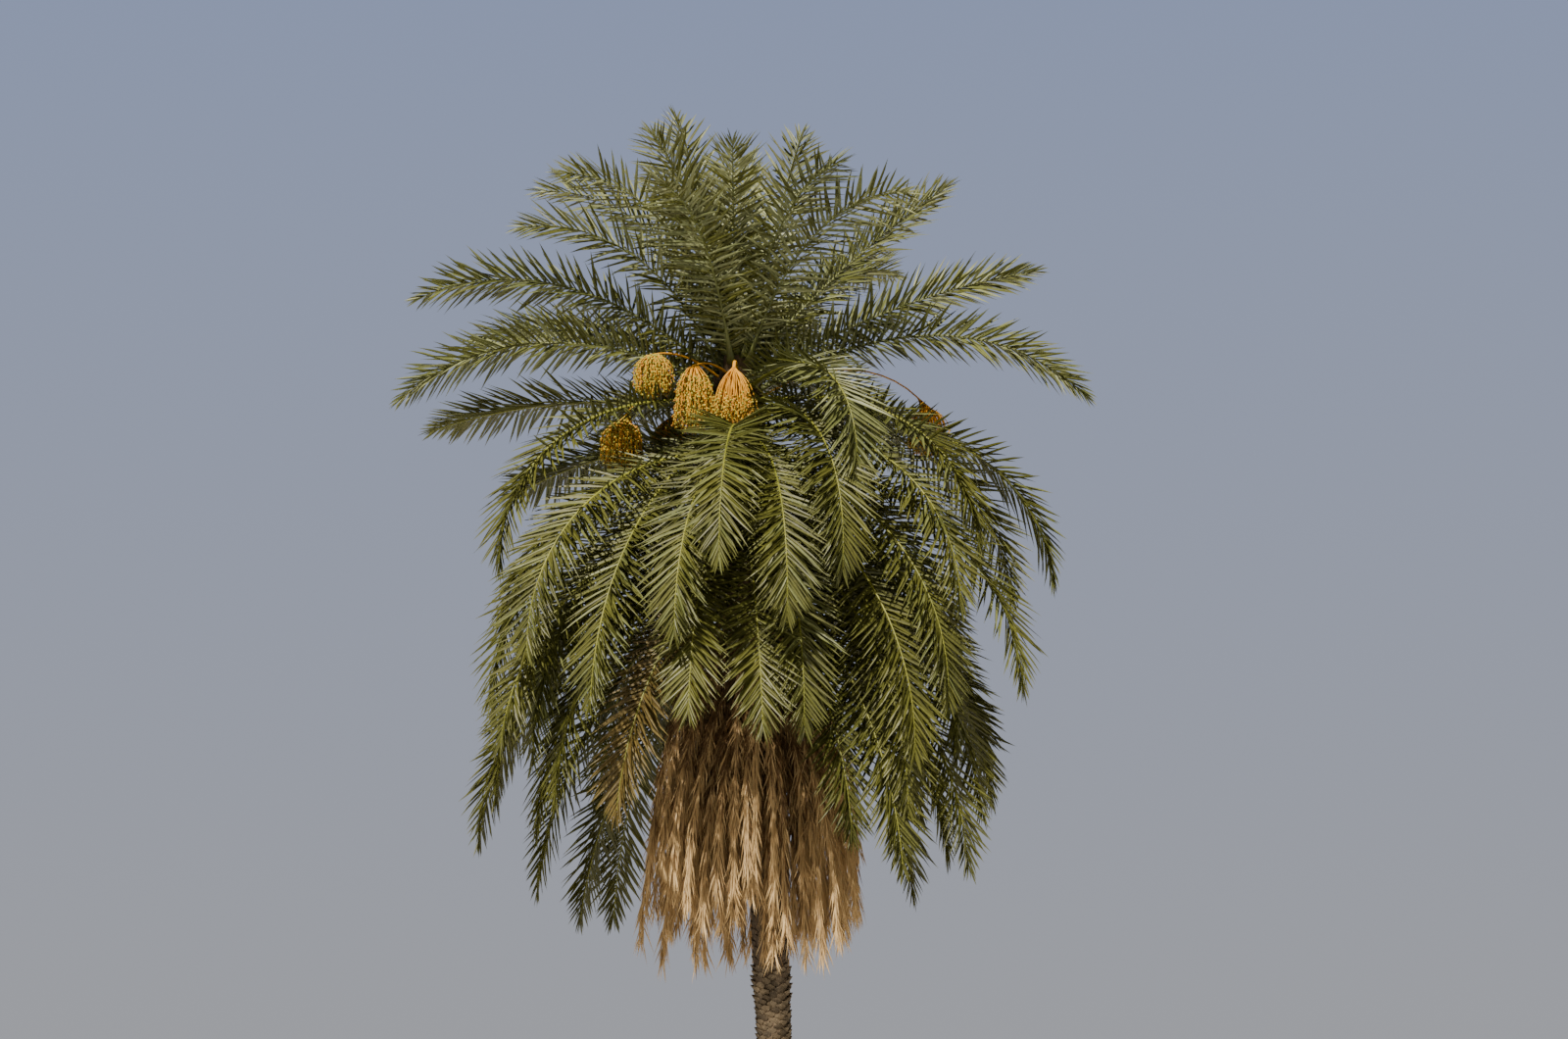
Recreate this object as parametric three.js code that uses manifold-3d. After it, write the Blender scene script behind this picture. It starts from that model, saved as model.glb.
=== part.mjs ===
// Silver date palm: a whole tree rooted in level ground, in millimetres, +Z up.
// The origin is the middle of the flat cut at ground level. Azimuths are in degrees
// from +X (the right) towards +Y (the far side), so -90 points at the viewer in front.
import * as THREE from "three";
import { mergeVertices } from "three/addons/utils/BufferGeometryUtils.js";
import Module from "manifold-3d";

const wasm = await Module();
wasm.setup();

// The trunk: a tapered, leaning column with a root flare and a rounded bud on top
const TRUNK = {
  height: 10900,
  lean: 540,
  leanPower: 1.3,
  footRadius: 205,
  headRadius: 175,
  flare: 150,
  flareHeight: 330,
  crownSwell: 45,
  crownFrom: 7000,
  crownTo: 8000,
  budFrom: 9850,
  budTip: 0.16,
  sides: 14,
  rings: 20,
};

// What every piece keeps clear of its neighbours
const JOINT_GAP = 0.35;
const LEAF_GAP = 3;

// The step of the grid that corners are rounded to
const GRID = 1 / 256;

// A frond's rib: a three-sided bar, ridge on the upper face, from a broad foot to a fine tip
const RIB = {
  inside: 80,
  lip: 0.25,
  footWidth: 84,
  throatWidth: 44,
  tipWidth: 12,
  footDepth: 46,
  throatDepth: 30,
  tipDepth: 9,
  petiole: 0.16,
  petioleSteps: 2,
  sweep: 9,
  roll: 16,
};

// Leaflets, larger than life: each stands for a cluster of the real ones
const LEAF = {
  length: 540,
  base: 0.42,
  sag: 0.16,
  angleLow: 70,
  angleHigh: 30,
  lifts: [36, -26, 62, -42],
  shrink: [1, 0.72, 0.45],
  standOff: 14,
};

// How living and dead fronds differ: the way they bend, their leaflets and how upright those stand
const LIVING = { pairs: 13, bend: 1.5, leaf: 1, open: 1, slim: 1 };
const DEAD = { pairs: 5, bend: 0.5, leaf: 1.15, open: 0.5, slim: 0.7 };

// Single fronds from the upright young ones down, each
// [azimuth, level of its foot, rise at the foot, arch down to the tip, length]
const SINGLES = [
  [52, 10600, 72, 10, 2800],
  [84, 10650, 70, 25, 2800],
  [125, 10630, 76, 22, 3050],
  [122, 10450, 74, 50, 3200],
  [166, 10550, 72, 72, 2950],
  [-146, 10570, 72, 84, 2800],
  [-166, 10400, 64, 74, 2700],
  [24, 10500, 48, 12, 3050],
  [-5, 10350, 28, 20, 3050],
  [-12, 10180, 27, 74, 3600],
  [-62, 10530, 68, 72, 2650],
  [178, 10330, 42, 68, 3400],
  [-176, 10240, 24, 66, 3450],
  [152, 10170, 36, 56, 3500],
  [160, 10000, 10, 25, 3250],
  [-153, 10050, -2, 90, 3500],
  [149, 9700, 2, 24, 2700],
  [175, 9640, -12, 80, 3350],
  [-128, 9800, -33, 54, 4000],
  [174, 8650, -28, 58, 4150],
  [-126, 8600, -42, 42, 3500],
  [-48, 10480, 62, 76, 2800],
  [-106, 9200, -33, 50, 3400],
  [-88, 9150, -35, 48, 3450],
  [-58, 10180, 14, 118, 2900],
  [-62, 9950, -4, 98, 3350],
  [-72, 9450, -35, 58, 3700],
  [-28, 10060, 0, 88, 3450],
  [17, 9980, 2, 90, 3700],
  [-6, 9880, 6, 92, 3850],
  [-40, 9780, -6, 86, 3600],
  [-50, 9250, -28, 65, 4000],
  [26, 8900, -22, 55, 3600],
];

// Fronds that share one sheath, each sheath [azimuth, lowest foot] and its fronds' own
// [turn from the sheath's azimuth, step up from the lowest foot, rise, arch, length]
const CLUSTERS = [
  [-108, 10460, [[-18, 160, 74, 52, 2500], [16, 100, 72, 46, 2350], [0, 0, 62, 64, 2500]]],
  [64, 10150, [[-14, 150, 54, 56, 3300], [13, 90, 48, 66, 3300], [0, 0, 26, 72, 3600]]],
  [106, 9950, [[-13, 150, 36, 70, 3500], [13, 90, 24, 74, 3700], [0, 0, 8, 84, 3800]]],
  [-34, 8400, [[-14, 80, -42, 42, 4000], [12, 160, -38, 48, 4100], [0, 0, -50, 34, 3900]]],
  [152, 8300, [[-14, 80, -48, 38, 4000], [12, 160, -42, 42, 4000], [0, 0, -52, 30, 3900]]],
  [-160, 8800, [[-14, 80, -28, 60, 3900], [12, 160, -20, 64, 3900], [0, 0, -40, 46, 3900]]],
  [47, 9000, [[-14, 80, -14, 70, 3900], [12, 160, -8, 76, 3900],
    [0, 0, -30, 56, 4000], [0, 420, 2, 84, 3700]]],
  [92, 8700, [[-14, 80, -24, 62, 4000], [12, 160, -16, 66, 4000],
    [0, 0, -40, 46, 4000], [-2, 330, 2, 80, 3600]]],
  [125, 9150, [[-14, 80, -14, 70, 3900], [12, 160, -8, 76, 3900], [0, 0, -30, 56, 4000]]],
  [-26, 9420, [[12, 130, -14, 74, 4000], [-14, 60, -20, 74, 3900], [0, 0, -32, 62, 4000]]],
  [-150, 9380, [[-14, 90, -20, 74, 3900], [13, 150, -10, 82, 3800], [0, 0, -32, 60, 4000]]],
  [-92, 9560, [[-12, 100, -20, 72, 3300], [13, 60, -8, 92, 3400], [0, 0, 8, 102, 3300]]],
  [4, 8650, [[-14, 80, -32, 54, 3800], [12, 160, -26, 60, 3800], [0, 0, -44, 42, 3800]]],
];

// The skirt of dead fronds that hang under the living crown
const SKIRT = {
  sectors: 6,
  perSector: 6,
  gap: 5,
  thickness: 60,
  low: 7250,
  high: 8050,
  rise: -28,
  arch: 60,
  length: 2800,
  spread: 450,
};

// Date bunches, each [azimuth, level of the stalk's foot, rise, stalk length, width, drop]
const BUNCHES = [
  [-93, 10190, 36, 580, 460, 580],
  [-127, 10330, 30, 640, 400, 700],
  [-158, 10340, 50, 880, 400, 440],
  [-173, 10040, 24, 1080, 360, 480],
  [4, 10120, 34, 1850, 400, 440],
  [78, 9850, 24, 900, 420, 560],
  [131, 9880, 42, 950, 420, 560],
];
const BUNCH = { arch: 80, scale: 0.62, bends: 2, sides: 12, ripple: 0.2 };

/** Turns degrees to radians. */
const rad = THREE.MathUtils.degToRad;

/** A repeatable random number between 0 and 1 from a seed. */
function chance(seed) {
  const wave = Math.sin(seed * 12.9898 + 4.1414) * 43758.5453;
  return wave - Math.floor(wave);
}

/** The trunk's axis at a height. */
function trunkAxis(z) {
  return new THREE.Vector3(-TRUNK.lean * (z / TRUNK.height) ** TRUNK.leanPower, 0, z);
}

/** The trunk's radius at a height. */
function trunkRadius(z) {
  const shaft = THREE.MathUtils.lerp(TRUNK.footRadius, TRUNK.headRadius, z / TRUNK.height);
  const flare = TRUNK.flare * Math.exp(-z / TRUNK.flareHeight);
  const swell = TRUNK.crownSwell * THREE.MathUtils.smoothstep(z, TRUNK.crownFrom, TRUNK.crownTo);
  const bud = Math.max(0, (z - TRUNK.budFrom) / (TRUNK.height - TRUNK.budFrom));
  return (shaft + flare + swell) * Math.max(TRUNK.budTip, Math.sqrt(1 - bud * bud));
}

/** The direction of an azimuth on the level. */
function outwardOf(azimuth) {
  return new THREE.Vector3(Math.cos(rad(azimuth)), Math.sin(rad(azimuth)), 0);
}

/** The trunk's solid form, grown by a margin all round. */
function trunkGeometry(margin) {
  const form = new THREE.CylinderGeometry(1, 1, 1, TRUNK.sides, TRUNK.rings);
  const spot = form.attributes.position;
  for (let i = 0; i < spot.count; i++) {
    // Rings are closer together near the ground, where the flare is
    const level = spot.getY(i) + 0.5;
    const z = TRUNK.height * level ** 1.35;
    const reach = Math.hypot(spot.getX(i), spot.getZ(i)) < 0.5 ? 0 : trunkRadius(z) + margin;
    const turn = Math.atan2(-spot.getZ(i), spot.getX(i));
    const axis = trunkAxis(z);
    const end = level < 0.001 ? -margin : level > 0.999 ? margin : 0;
    spot.setXYZ(i, axis.x + reach * Math.cos(turn), reach * Math.sin(turn), z + end);
  }
  return form;
}

/** A rib's course: it leaves the trunk at `rise` and bends down by `arch` on its way to the tip. */
class RibCurve extends THREE.Curve {
  constructor({ azimuth, foot, rise, arch, length, sweep, bend }) {
    super();
    Object.assign(this, { azimuth, rise, arch, sweep, bend });
    const outward = outwardOf(azimuth);
    this.course = [trunkAxis(foot).addScaledVector(outward, trunkRadius(foot))];
    this.steps = 40;
    for (let i = 0; i < this.steps; i++) {
      const ahead = this.heading((i + 0.5) / this.steps);
      this.course.push(this.course[i].clone().addScaledVector(ahead, length / this.steps));
    }
  }

  heading(t) {
    const slope = rad(this.rise - this.arch * t ** this.bend);
    return outwardOf(this.azimuth + this.sweep * t)
      .multiplyScalar(Math.cos(slope))
      .setZ(Math.sin(slope));
  }

  sideways(t) {
    return outwardOf(this.azimuth + this.sweep * t + 90);
  }

  getPoint(t) {
    const at = Math.min(t * this.steps, this.steps - 1e-6);
    const i = Math.floor(at);
    return this.course[i].clone().lerp(this.course[i + 1], at - i);
  }
}

/** A size that falls from foot to throat along the leaf stalk, and from there to the tip. */
function tapered(t, foot, throat, tip) {
  return t < RIB.petiole
    ? THREE.MathUtils.lerp(foot, throat, t / RIB.petiole)
    : THREE.MathUtils.lerp(throat, tip, (t - RIB.petiole) / (1 - RIB.petiole));
}

/** One three-cornered ring of a rib: right edge, left edge and the ridge on the upper face. */
function ribRing(curve, t, scale, roll) {
  const middle = curve.getPoint(t);
  const ahead = curve.heading(t);
  const side = curve.sideways(t).applyAxisAngle(ahead, rad(roll * t));
  const upper = ahead.clone().cross(side);
  const half = (scale * tapered(t, RIB.footWidth, RIB.throatWidth, RIB.tipWidth)) / 2;
  const deep = scale * tapered(t, RIB.footDepth, RIB.throatDepth, RIB.tipDepth);
  return {
    middle,
    ahead,
    upper,
    right: middle.clone().addScaledVector(side, -half).addScaledVector(upper, -deep / 3),
    left: middle.clone().addScaledVector(side, half).addScaledVector(upper, -deep / 3),
    ridge: middle.clone().addScaledVector(upper, (2 * deep) / 3),
  };
}

/** A convex piece of a plant, with the directions that can part it from another. */
function convex(owner, corners, faces) {
  const normals = faces.map(([a, b, c]) =>
    corners[b].clone().sub(corners[a]).cross(corners[c].clone().sub(corners[a])).normalize(),
  );
  const edges = [];
  for (const face of faces)
    face.forEach((a, i) => {
      const b = face[(i + 1) % face.length];
      if (a < b) edges.push(corners[b].clone().sub(corners[a]).normalize());
    });
  return { owner, corners, normals, edges, box: new THREE.Box3().setFromPoints(corners) };
}

/** Whether two convex pieces stand apart along one direction. */
function apartAlong(axis, a, b, gap) {
  let lowA = Infinity;
  let highA = -Infinity;
  let lowB = Infinity;
  let highB = -Infinity;
  for (const p of a.corners) {
    const d = p.dot(axis);
    lowA = Math.min(lowA, d);
    highA = Math.max(highA, d);
  }
  for (const p of b.corners) {
    const d = p.dot(axis);
    lowB = Math.min(lowB, d);
    highB = Math.max(highB, d);
  }
  return lowA - highB > gap || lowB - highA > gap;
}

/** Whether two convex pieces are clear of each other by a gap. */
function apart(a, b, gap) {
  if (!a.box.clone().expandByScalar(Math.max(gap, 0)).intersectsBox(b.box)) return true;
  for (const n of a.normals) if (apartAlong(n, a, b, gap)) return true;
  for (const n of b.normals) if (apartAlong(n, a, b, gap)) return true;
  const across = new THREE.Vector3();
  for (const ea of a.edges)
    for (const eb of b.edges) {
      across.crossVectors(ea, eb);
      if (across.lengthSq() > 1e-6 && apartAlong(across.normalize(), a, b, gap)) return true;
    }
  return false;
}

/** A leaflet's length along the blade: short at the throat, full at a third, lesser at the tip. */
function leafLength(t) {
  const swell = Math.sin(Math.PI * Math.min(1, 0.16 + t * 0.72)) ** 0.8;
  return LEAF.length * (LEAF.base + (1 - LEAF.base) * swell);
}

/** The tip of one leaflet, which grows from a rib's edge. */
function leafTip(low, high, turn, t, lift, share, kind) {
  const edge = turn < 0 ? "right" : "left";
  const root = low[edge].clone().add(high[edge]).multiplyScalar(0.5);
  const side = low[edge].clone().sub(low[turn < 0 ? "left" : "right"]).normalize();
  const open = kind.open * rad(THREE.MathUtils.lerp(LEAF.angleLow, LEAF.angleHigh, t ** 1.4));
  const reach = leafLength(t) * kind.leaf * share;
  const away = low.ahead.clone().multiplyScalar(Math.cos(open));
  away.addScaledVector(side, Math.sin(open) * Math.cos(rad(lift)));
  away.addScaledVector(low.upper, Math.sin(open) * Math.sin(rad(lift)));
  root.addScaledVector(away, reach);
  root.z -= LEAF.sag * reach;
  return root;
}

/** How far a leaflet's tip stands off the flank of the rib that it grows from. */
function standsOff(low, high, turn, tip) {
  const flank = turn < 0 ? [low.right, high.right, high.ridge] : [low.left, low.ridge, high.ridge];
  return new THREE.Plane().setFromCoplanarPoints(...flank).distanceToPoint(tip);
}

/** The convex piece that a leaflet fills. */
function leafPiece(owner, low, high, turn, tip) {
  const edge = turn < 0 ? "right" : "left";
  const corners = [low[edge], high[edge], low.ridge, high.ridge, tip];
  return convex(owner, corners, [
    [0, 1, 4],
    [0, 2, 4],
    [2, 3, 4],
    [1, 3, 4],
    [0, 1, 3, 2],
  ]);
}

/** The rings of a frond's rib: root in the trunk, stalk, then one ring at each leaflet's foot. */
function ribRings(frond) {
  const { scale, roll, kind } = frond;
  const curve = new RibCurve(frond);
  const rings = [];
  for (let i = 0; i <= RIB.petioleSteps; i++)
    rings.push(ribRing(curve, (RIB.petiole * i) / RIB.petioleSteps, scale, roll));
  for (let i = 1; i <= kind.pairs; i++)
    rings.push(ribRing(curve, RIB.petiole + ((1 - RIB.petiole) * i) / (kind.pairs + 0.6), scale, roll));
  const root = ribRing(curve, 0, scale, roll);
  const inward = outwardOf(frond.azimuth).multiplyScalar(-RIB.inside).setZ(-0.35 * RIB.inside);
  for (const key of ["right", "left", "ridge"]) root[key].add(inward);
  return { rings: [root, ...rings], tip: curve.getPoint(1) };
}

/** The convex pieces of a rib, from a lip just inside the trunk's surface. */
function ribPieces(owner, rings) {
  const lip = {};
  for (const key of ["right", "left", "ridge"]) lip[key] = rings[1][key].clone().lerp(rings[0][key], RIB.lip);
  return rings.slice(1).map((high, i) => {
    const low = i ? rings[i] : lip;
    const corners = [low.right, low.left, low.ridge, high.right, high.left, high.ridge];
    return convex(owner, corners, [
      [0, 1, 4, 3],
      [0, 3, 5, 2],
      [1, 2, 5, 4],
      [0, 2, 1],
      [3, 4, 5],
    ]);
  });
}

/** A closed frond: the rib's rings, a point at its tip, and the leaflets that stand clear. */
class FrondGeometry extends THREE.BufferGeometry {
  constructor({ rings, tip, leaves = [] }) {
    super();
    const spots = [];
    const faces = [];
    const add = (p) => spots.push(p) - 1;
    const index = rings.map((ring) => [add(ring.right), add(ring.left), add(ring.ridge)]);
    for (let i = 0; i + 1 < rings.length; i++) {
      const [r0, l0, t0] = index[i];
      const [r1, l1, t1] = index[i + 1];
      const [right, left] = leaves[i] ?? [];
      faces.push([r0, l0, l1], [r0, l1, r1]);
      if (right) {
        const p = add(right);
        faces.push([r0, r1, p], [t0, r0, p], [t1, t0, p], [r1, t1, p]);
      } else faces.push([r0, r1, t1], [r0, t1, t0]);
      if (left) {
        const p = add(left);
        faces.push([l1, l0, p], [l0, t0, p], [t0, t1, p], [t1, l1, p]);
      } else faces.push([l0, t0, t1], [l0, t1, l1]);
    }
    const [r0, l0, t0] = index[0];
    const [r1, l1, t1] = index[index.length - 1];
    const end = add(tip);
    faces.push([r0, t0, l0], [r1, l1, end], [l1, t1, end], [t1, r1, end]);
    this.setAttribute("position", new THREE.Float32BufferAttribute(spots.flatMap((p) => p.toArray()), 3));
    this.setIndex(faces.flat());
  }
}

/** A block of leaf sheath round part of the trunk, as corners: an outer arc and an inner chord, twice. */
function sheathCorners({ azimuth, width, low, high, thickness }, inside) {
  const corners = [];
  for (const z of [low, high])
    for (const turn of [-0.5, -1 / 6, 1 / 6, 0.5, 0.5, -0.5]) {
      const outer = corners.length % 6 < 4;
      const reach = trunkRadius(z) + (outer ? thickness : -inside);
      corners.push(trunkAxis(z).addScaledVector(outwardOf(azimuth + turn * width), reach));
    }
  return corners;
}

// A sheath block's faces, outward
const SHEATH_FACES = [
  [5, 4, 3, 2, 1, 0],
  [6, 7, 8, 9, 10, 11],
  ...[0, 1, 2, 3, 4, 5].map((i) => [i, (i + 1) % 6, 6 + ((i + 1) % 6), 6 + i]),
];

/** A closed geometry from corners and flat faces. */
function facetGeometry(corners, faces) {
  const geometry = new THREE.BufferGeometry();
  geometry.setAttribute("position", new THREE.Float32BufferAttribute(corners.flatMap((p) => p.toArray()), 3));
  geometry.setIndex(faces.flatMap((f) => f.slice(2).flatMap((c, i) => [f[0], f[i + 1], c])));
  return geometry;
}

/** A date bunch's hanging bell: rippled rings of corners below the stalk's end. */
function bellRings({ end, width, drop }) {
  const levels = [
    [0.14, 0.04, 0],
    [0.62, -0.22, 1],
    [1, -0.58, 1],
    [0.86, -0.88, 1],
    [0.3, -1, 0],
  ];
  return levels.map(([share, down, rippled]) =>
    Array.from({ length: BUNCH.sides }, (_, i) => {
      const ripple = 1 - BUNCH.ripple * rippled * (i % 2);
      const reach = (width / 2) * share * ripple;
      return end.clone().addScaledVector(outwardOf((360 * i) / BUNCH.sides), reach).setZ(end.z + drop * down);
    }),
  );
}

/** The closed bell of a date bunch. */
function bellGeometry(bell) {
  const rings = bellRings(bell);
  const n = BUNCH.sides;
  const last = (rings.length - 1) * n;
  const faces = [Array.from({ length: n }, (_, i) => last + n - 1 - i), Array.from({ length: n }, (_, i) => i)];
  for (let k = 0; k + 1 < rings.length; k++)
    for (let i = 0; i < n; i++) {
      const j = (i + 1) % n;
      faces.push([k * n + i, (k + 1) * n + i, (k + 1) * n + j, k * n + j]);
    }
  return facetGeometry(rings.flat(), faces);
}

/** The convex piece that a bell keeps to itself. */
function bellPiece(owner, bell) {
  const rings = bellRings(bell);
  const m = BUNCH.sides / 2;
  const wide = rings[2].filter((_, i) => i % 2 === 0);
  const top = wide.map((p) => p.clone().setZ(rings[0][0].z));
  const foot = wide.map((p) => p.clone().setZ(rings[4][0].z));
  const faces = [Array.from({ length: m }, (_, i) => m - 1 - i), Array.from({ length: m }, (_, i) => m + i)];
  for (let i = 0; i < m; i++) faces.push([i, (i + 1) % m, m + ((i + 1) % m), m + i]);
  return convex(owner, [...foot, ...top], faces);
}

/** A geometry as a manifold-3d solid. */
function solid(geometry) {
  const bare = new THREE.BufferGeometry().setAttribute("position", geometry.getAttribute("position").clone());
  if (geometry.index) bare.setIndex(geometry.index);
  const merged = mergeVertices(bare, 1e-3);
  return new wasm.Manifold(
    new wasm.Mesh({
      numProp: 3,
      vertProperties: new Float32Array(merged.attributes.position.array),
      triVerts: new Uint32Array(merged.index.array),
    }),
  );
}

/** A manifold-3d solid as a three.js geometry, its corners on a fine even grid. */
function geometryOf(made) {
  const { vertProperties, triVerts } = made.getMesh();
  const spots = Float32Array.from(vertProperties, (x) => Math.round(x / GRID) * GRID);
  const geometry = new THREE.BufferGeometry();
  geometry.setAttribute("position", new THREE.BufferAttribute(spots, 3));
  geometry.setIndex(new THREE.BufferAttribute(new Uint32Array(triVerts), 1));
  geometry.computeVertexNormals();
  return geometry;
}

const MATERIALS = {
  bark: new THREE.MeshStandardMaterial({ color: 0x6b5a45, roughness: 0.95, metalness: 0 }),
  green: new THREE.MeshStandardMaterial({ color: 0x6e7648, roughness: 0.6, metalness: 0 }),
  straw: new THREE.MeshStandardMaterial({ color: 0xa98d63, roughness: 0.8, metalness: 0 }),
  date: new THREE.MeshStandardMaterial({ color: 0xb8862e, roughness: 0.5, metalness: 0 }),
};

const tree = new THREE.Group();
const placed = [];

/** Adds a named sub-part to the tree. */
function addPart(name, geometry, material) {
  const mesh = new THREE.Mesh(geometry, material);
  mesh.name = name;
  tree.add(mesh);
}

/** A frond's sizes in full, from its row and its place in the crown. */
function makeFrond(owner, [azimuth, foot, rise, arch, length], kind) {
  const frond = { owner, azimuth, foot, rise, arch, length, kind, bend: kind.bend };
  frond.sweep = RIB.sweep * Math.sin(azimuth + foot);
  frond.roll = RIB.roll * Math.cos(azimuth - foot);
  frond.scale = (rise > 55 ? 0.8 : 1) * kind.slim;
  return Object.assign(frond, ribRings(frond));
}

/** Gives a frond its leaflets, each in the first stance that stands clear, or none. */
function growLeaves(frond) {
  const first = frond.rings.length - frond.kind.pairs - 1;
  const taken = new THREE.Box3().setFromPoints(frond.rings.map((ring) => ring.middle));
  taken.expandByScalar(2 * LEAF.length);
  const near = placed.filter((other) => taken.intersectsBox(other.box));
  const clear = (mine) => near.every((other) => apart(mine, other, other.owner === frond.owner ? -2 : LEAF_GAP));
  frond.leaves = [];
  for (let i = first; i + 1 < frond.rings.length; i++) {
    const t = (i - first) / (frond.kind.pairs - 1);
    const [low, high] = [frond.rings[i], frond.rings[i + 1]];
    frond.leaves[i] = [-1, 1].map((turn) => {
      const start = Math.floor(chance(i * 7.1 + frond.azimuth + turn) * LEAF.lifts.length);
      for (const share of LEAF.shrink)
        for (let k = 0; k < LEAF.lifts.length; k++) {
          const lift = LEAF.lifts[(start + k) % LEAF.lifts.length];
          const tip = leafTip(low, high, turn, t, lift, share, frond.kind);
          if (standsOff(low, high, turn, tip) < LEAF.standOff) continue;
          const mine = leafPiece(frond.owner, low, high, turn, tip);
          if (clear(mine)) {
            placed.push(mine);
            near.push(mine);
            return tip;
          }
        }
      return null;
    });
  }
}

const trunkCut = solid(trunkGeometry(JOINT_GAP));
addPart("trunk", trunkGeometry(0), MATERIALS.bark);

// Every node's name, fronds and sheath
const nodes = [];
SINGLES.forEach((row, i) => {
  const name = "frond_" + String(i + 1).padStart(2, "0");
  nodes.push({ name, material: MATERIALS.green, fronds: [makeFrond(name, row, LIVING)] });
});
CLUSTERS.forEach(([azimuth, low, rows], i) => {
  const name = "frond_group_" + (i + 1);
  const high = low + Math.max(...rows.map((row) => row[1]));
  const sheath = { azimuth, width: 34, low: low - 60, high: high + 50, thickness: 40 };
  const fronds = rows.map(([turn, step, ...rest], k) =>
    makeFrond(name + "_" + k, [azimuth + turn, low + step, ...rest], LIVING),
  );
  nodes.push({ name, material: MATERIALS.green, fronds, sheath });
});
for (let i = 0; i < SKIRT.sectors; i++) {
  const name = "dead_fronds_" + (i + 1);
  const wide = 360 / SKIRT.sectors;
  const azimuth = -90 + wide * i;
  const { low, high, thickness } = SKIRT;
  const sheath = { azimuth, width: wide - SKIRT.gap, low: low - 80, high: high + 60, thickness };
  const fronds = [];
  for (let k = 0; k < SKIRT.perSector; k++) {
    const turn = ((k + 0.5) / SKIRT.perSector - 0.5) * (wide - 3 * SKIRT.gap);
    const foot = low + ((k * 0.618) % 1) * (high - low);
    const lot = chance(i * 11 + k);
    const row = [azimuth + turn, foot, SKIRT.rise - 16 * lot, SKIRT.arch - 14 * lot];
    fronds.push(makeFrond(name + "_" + k, [...row, SKIRT.length + SKIRT.spread * chance(k + i)], DEAD));
  }
  nodes.push({ name, material: MATERIALS.straw, fronds, sheath });
}
BUNCHES.forEach(([azimuth, foot, rise, length, width, drop], i) => {
  const name = "date_bunch_" + (i + 1);
  const kind = { ...LIVING, pairs: BUNCH.bends, slim: BUNCH.scale };
  const stalk = makeFrond(name, [azimuth, foot, rise, BUNCH.arch, length], kind);
  const bell = { end: stalk.tip, width, drop };
  nodes.push({ name, material: MATERIALS.date, fronds: [stalk], bell });
});

// Ribs, sheaths and bunches first, then the leaflets into the space that is left
for (const { name, fronds, sheath, bell } of nodes) {
  for (const frond of fronds) placed.push(...ribPieces(frond.owner, frond.rings));
  if (sheath) placed.push(convex(name, sheathCorners(sheath, 0), SHEATH_FACES));
  if (bell) placed.push(bellPiece(name, bell));
}
for (const { name, material, fronds, sheath, bell } of nodes) {
  if (!bell) fronds.forEach(growLeaves);
  const parts = fronds.map((frond) => solid(new FrondGeometry(frond)));
  if (sheath) parts.push(solid(facetGeometry(sheathCorners(sheath, 60), SHEATH_FACES)));
  if (bell) parts.push(solid(bellGeometry(bell)));
  addPart(name, geometryOf(wasm.Manifold.union(parts).subtract(trunkCut)), material);
}

export default tree;
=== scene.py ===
"""A silver date palm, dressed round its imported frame.

The bark, the leaf bases, the fine fronds, the hanging skirt of dead fronds and the date bunches are
grown again here, in metres, by the rules of the part's own source. Azimuths are in degrees from +X
towards +Y, so -90 points at the viewer in front.
"""

import logging
import math
from dataclasses import dataclass, field, replace
from enum import Enum

import bpy
import numpy as np
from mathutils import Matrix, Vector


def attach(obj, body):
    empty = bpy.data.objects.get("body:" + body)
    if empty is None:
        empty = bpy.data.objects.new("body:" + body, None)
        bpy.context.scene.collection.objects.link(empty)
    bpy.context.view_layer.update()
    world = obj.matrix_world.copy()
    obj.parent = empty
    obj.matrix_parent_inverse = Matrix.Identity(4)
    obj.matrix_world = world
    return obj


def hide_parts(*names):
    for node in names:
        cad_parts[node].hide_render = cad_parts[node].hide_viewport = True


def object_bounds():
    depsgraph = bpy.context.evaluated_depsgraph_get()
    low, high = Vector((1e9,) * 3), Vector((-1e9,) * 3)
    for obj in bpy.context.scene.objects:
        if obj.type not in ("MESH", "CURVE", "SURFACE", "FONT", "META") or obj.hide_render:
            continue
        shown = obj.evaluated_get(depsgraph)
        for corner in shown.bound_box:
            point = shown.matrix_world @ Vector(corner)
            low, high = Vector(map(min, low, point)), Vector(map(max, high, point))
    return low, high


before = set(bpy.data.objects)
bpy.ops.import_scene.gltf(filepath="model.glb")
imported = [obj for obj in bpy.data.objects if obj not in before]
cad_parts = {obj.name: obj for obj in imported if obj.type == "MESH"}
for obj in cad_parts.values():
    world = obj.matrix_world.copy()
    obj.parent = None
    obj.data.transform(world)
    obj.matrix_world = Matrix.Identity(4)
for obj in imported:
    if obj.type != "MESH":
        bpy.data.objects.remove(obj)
CAD_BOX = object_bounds()

Array = np.ndarray
Colour = tuple[float, float, float]
Span = tuple[float, float]
Socket = bpy.types.NodeSocket
log = logging.getLogger("date_palm")

BODY = "root"
GOLDEN_TURN = 137.508
GOLDEN_SHARE = 0.618
FRONT = -90.0
OVERHANG = 0.15
CHANCE_STEP = 12.9898
CHANCE_START = 4.1414
CHANCE_SPAN = 43758.5453
UP = np.array([0.0, 0.0, 1.0])


def chance(seed: float) -> float:
    """A repeatable random number between 0 and 1 from a seed, as the source draws it."""
    return math.sin(seed * CHANCE_STEP + CHANCE_START) * CHANCE_SPAN % 1.0


def blend(a: Array | float, b: Array | float, share: Array | float) -> Array | float:
    """The value a share of the way from a to b."""
    return a + (b - a) * share


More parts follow.
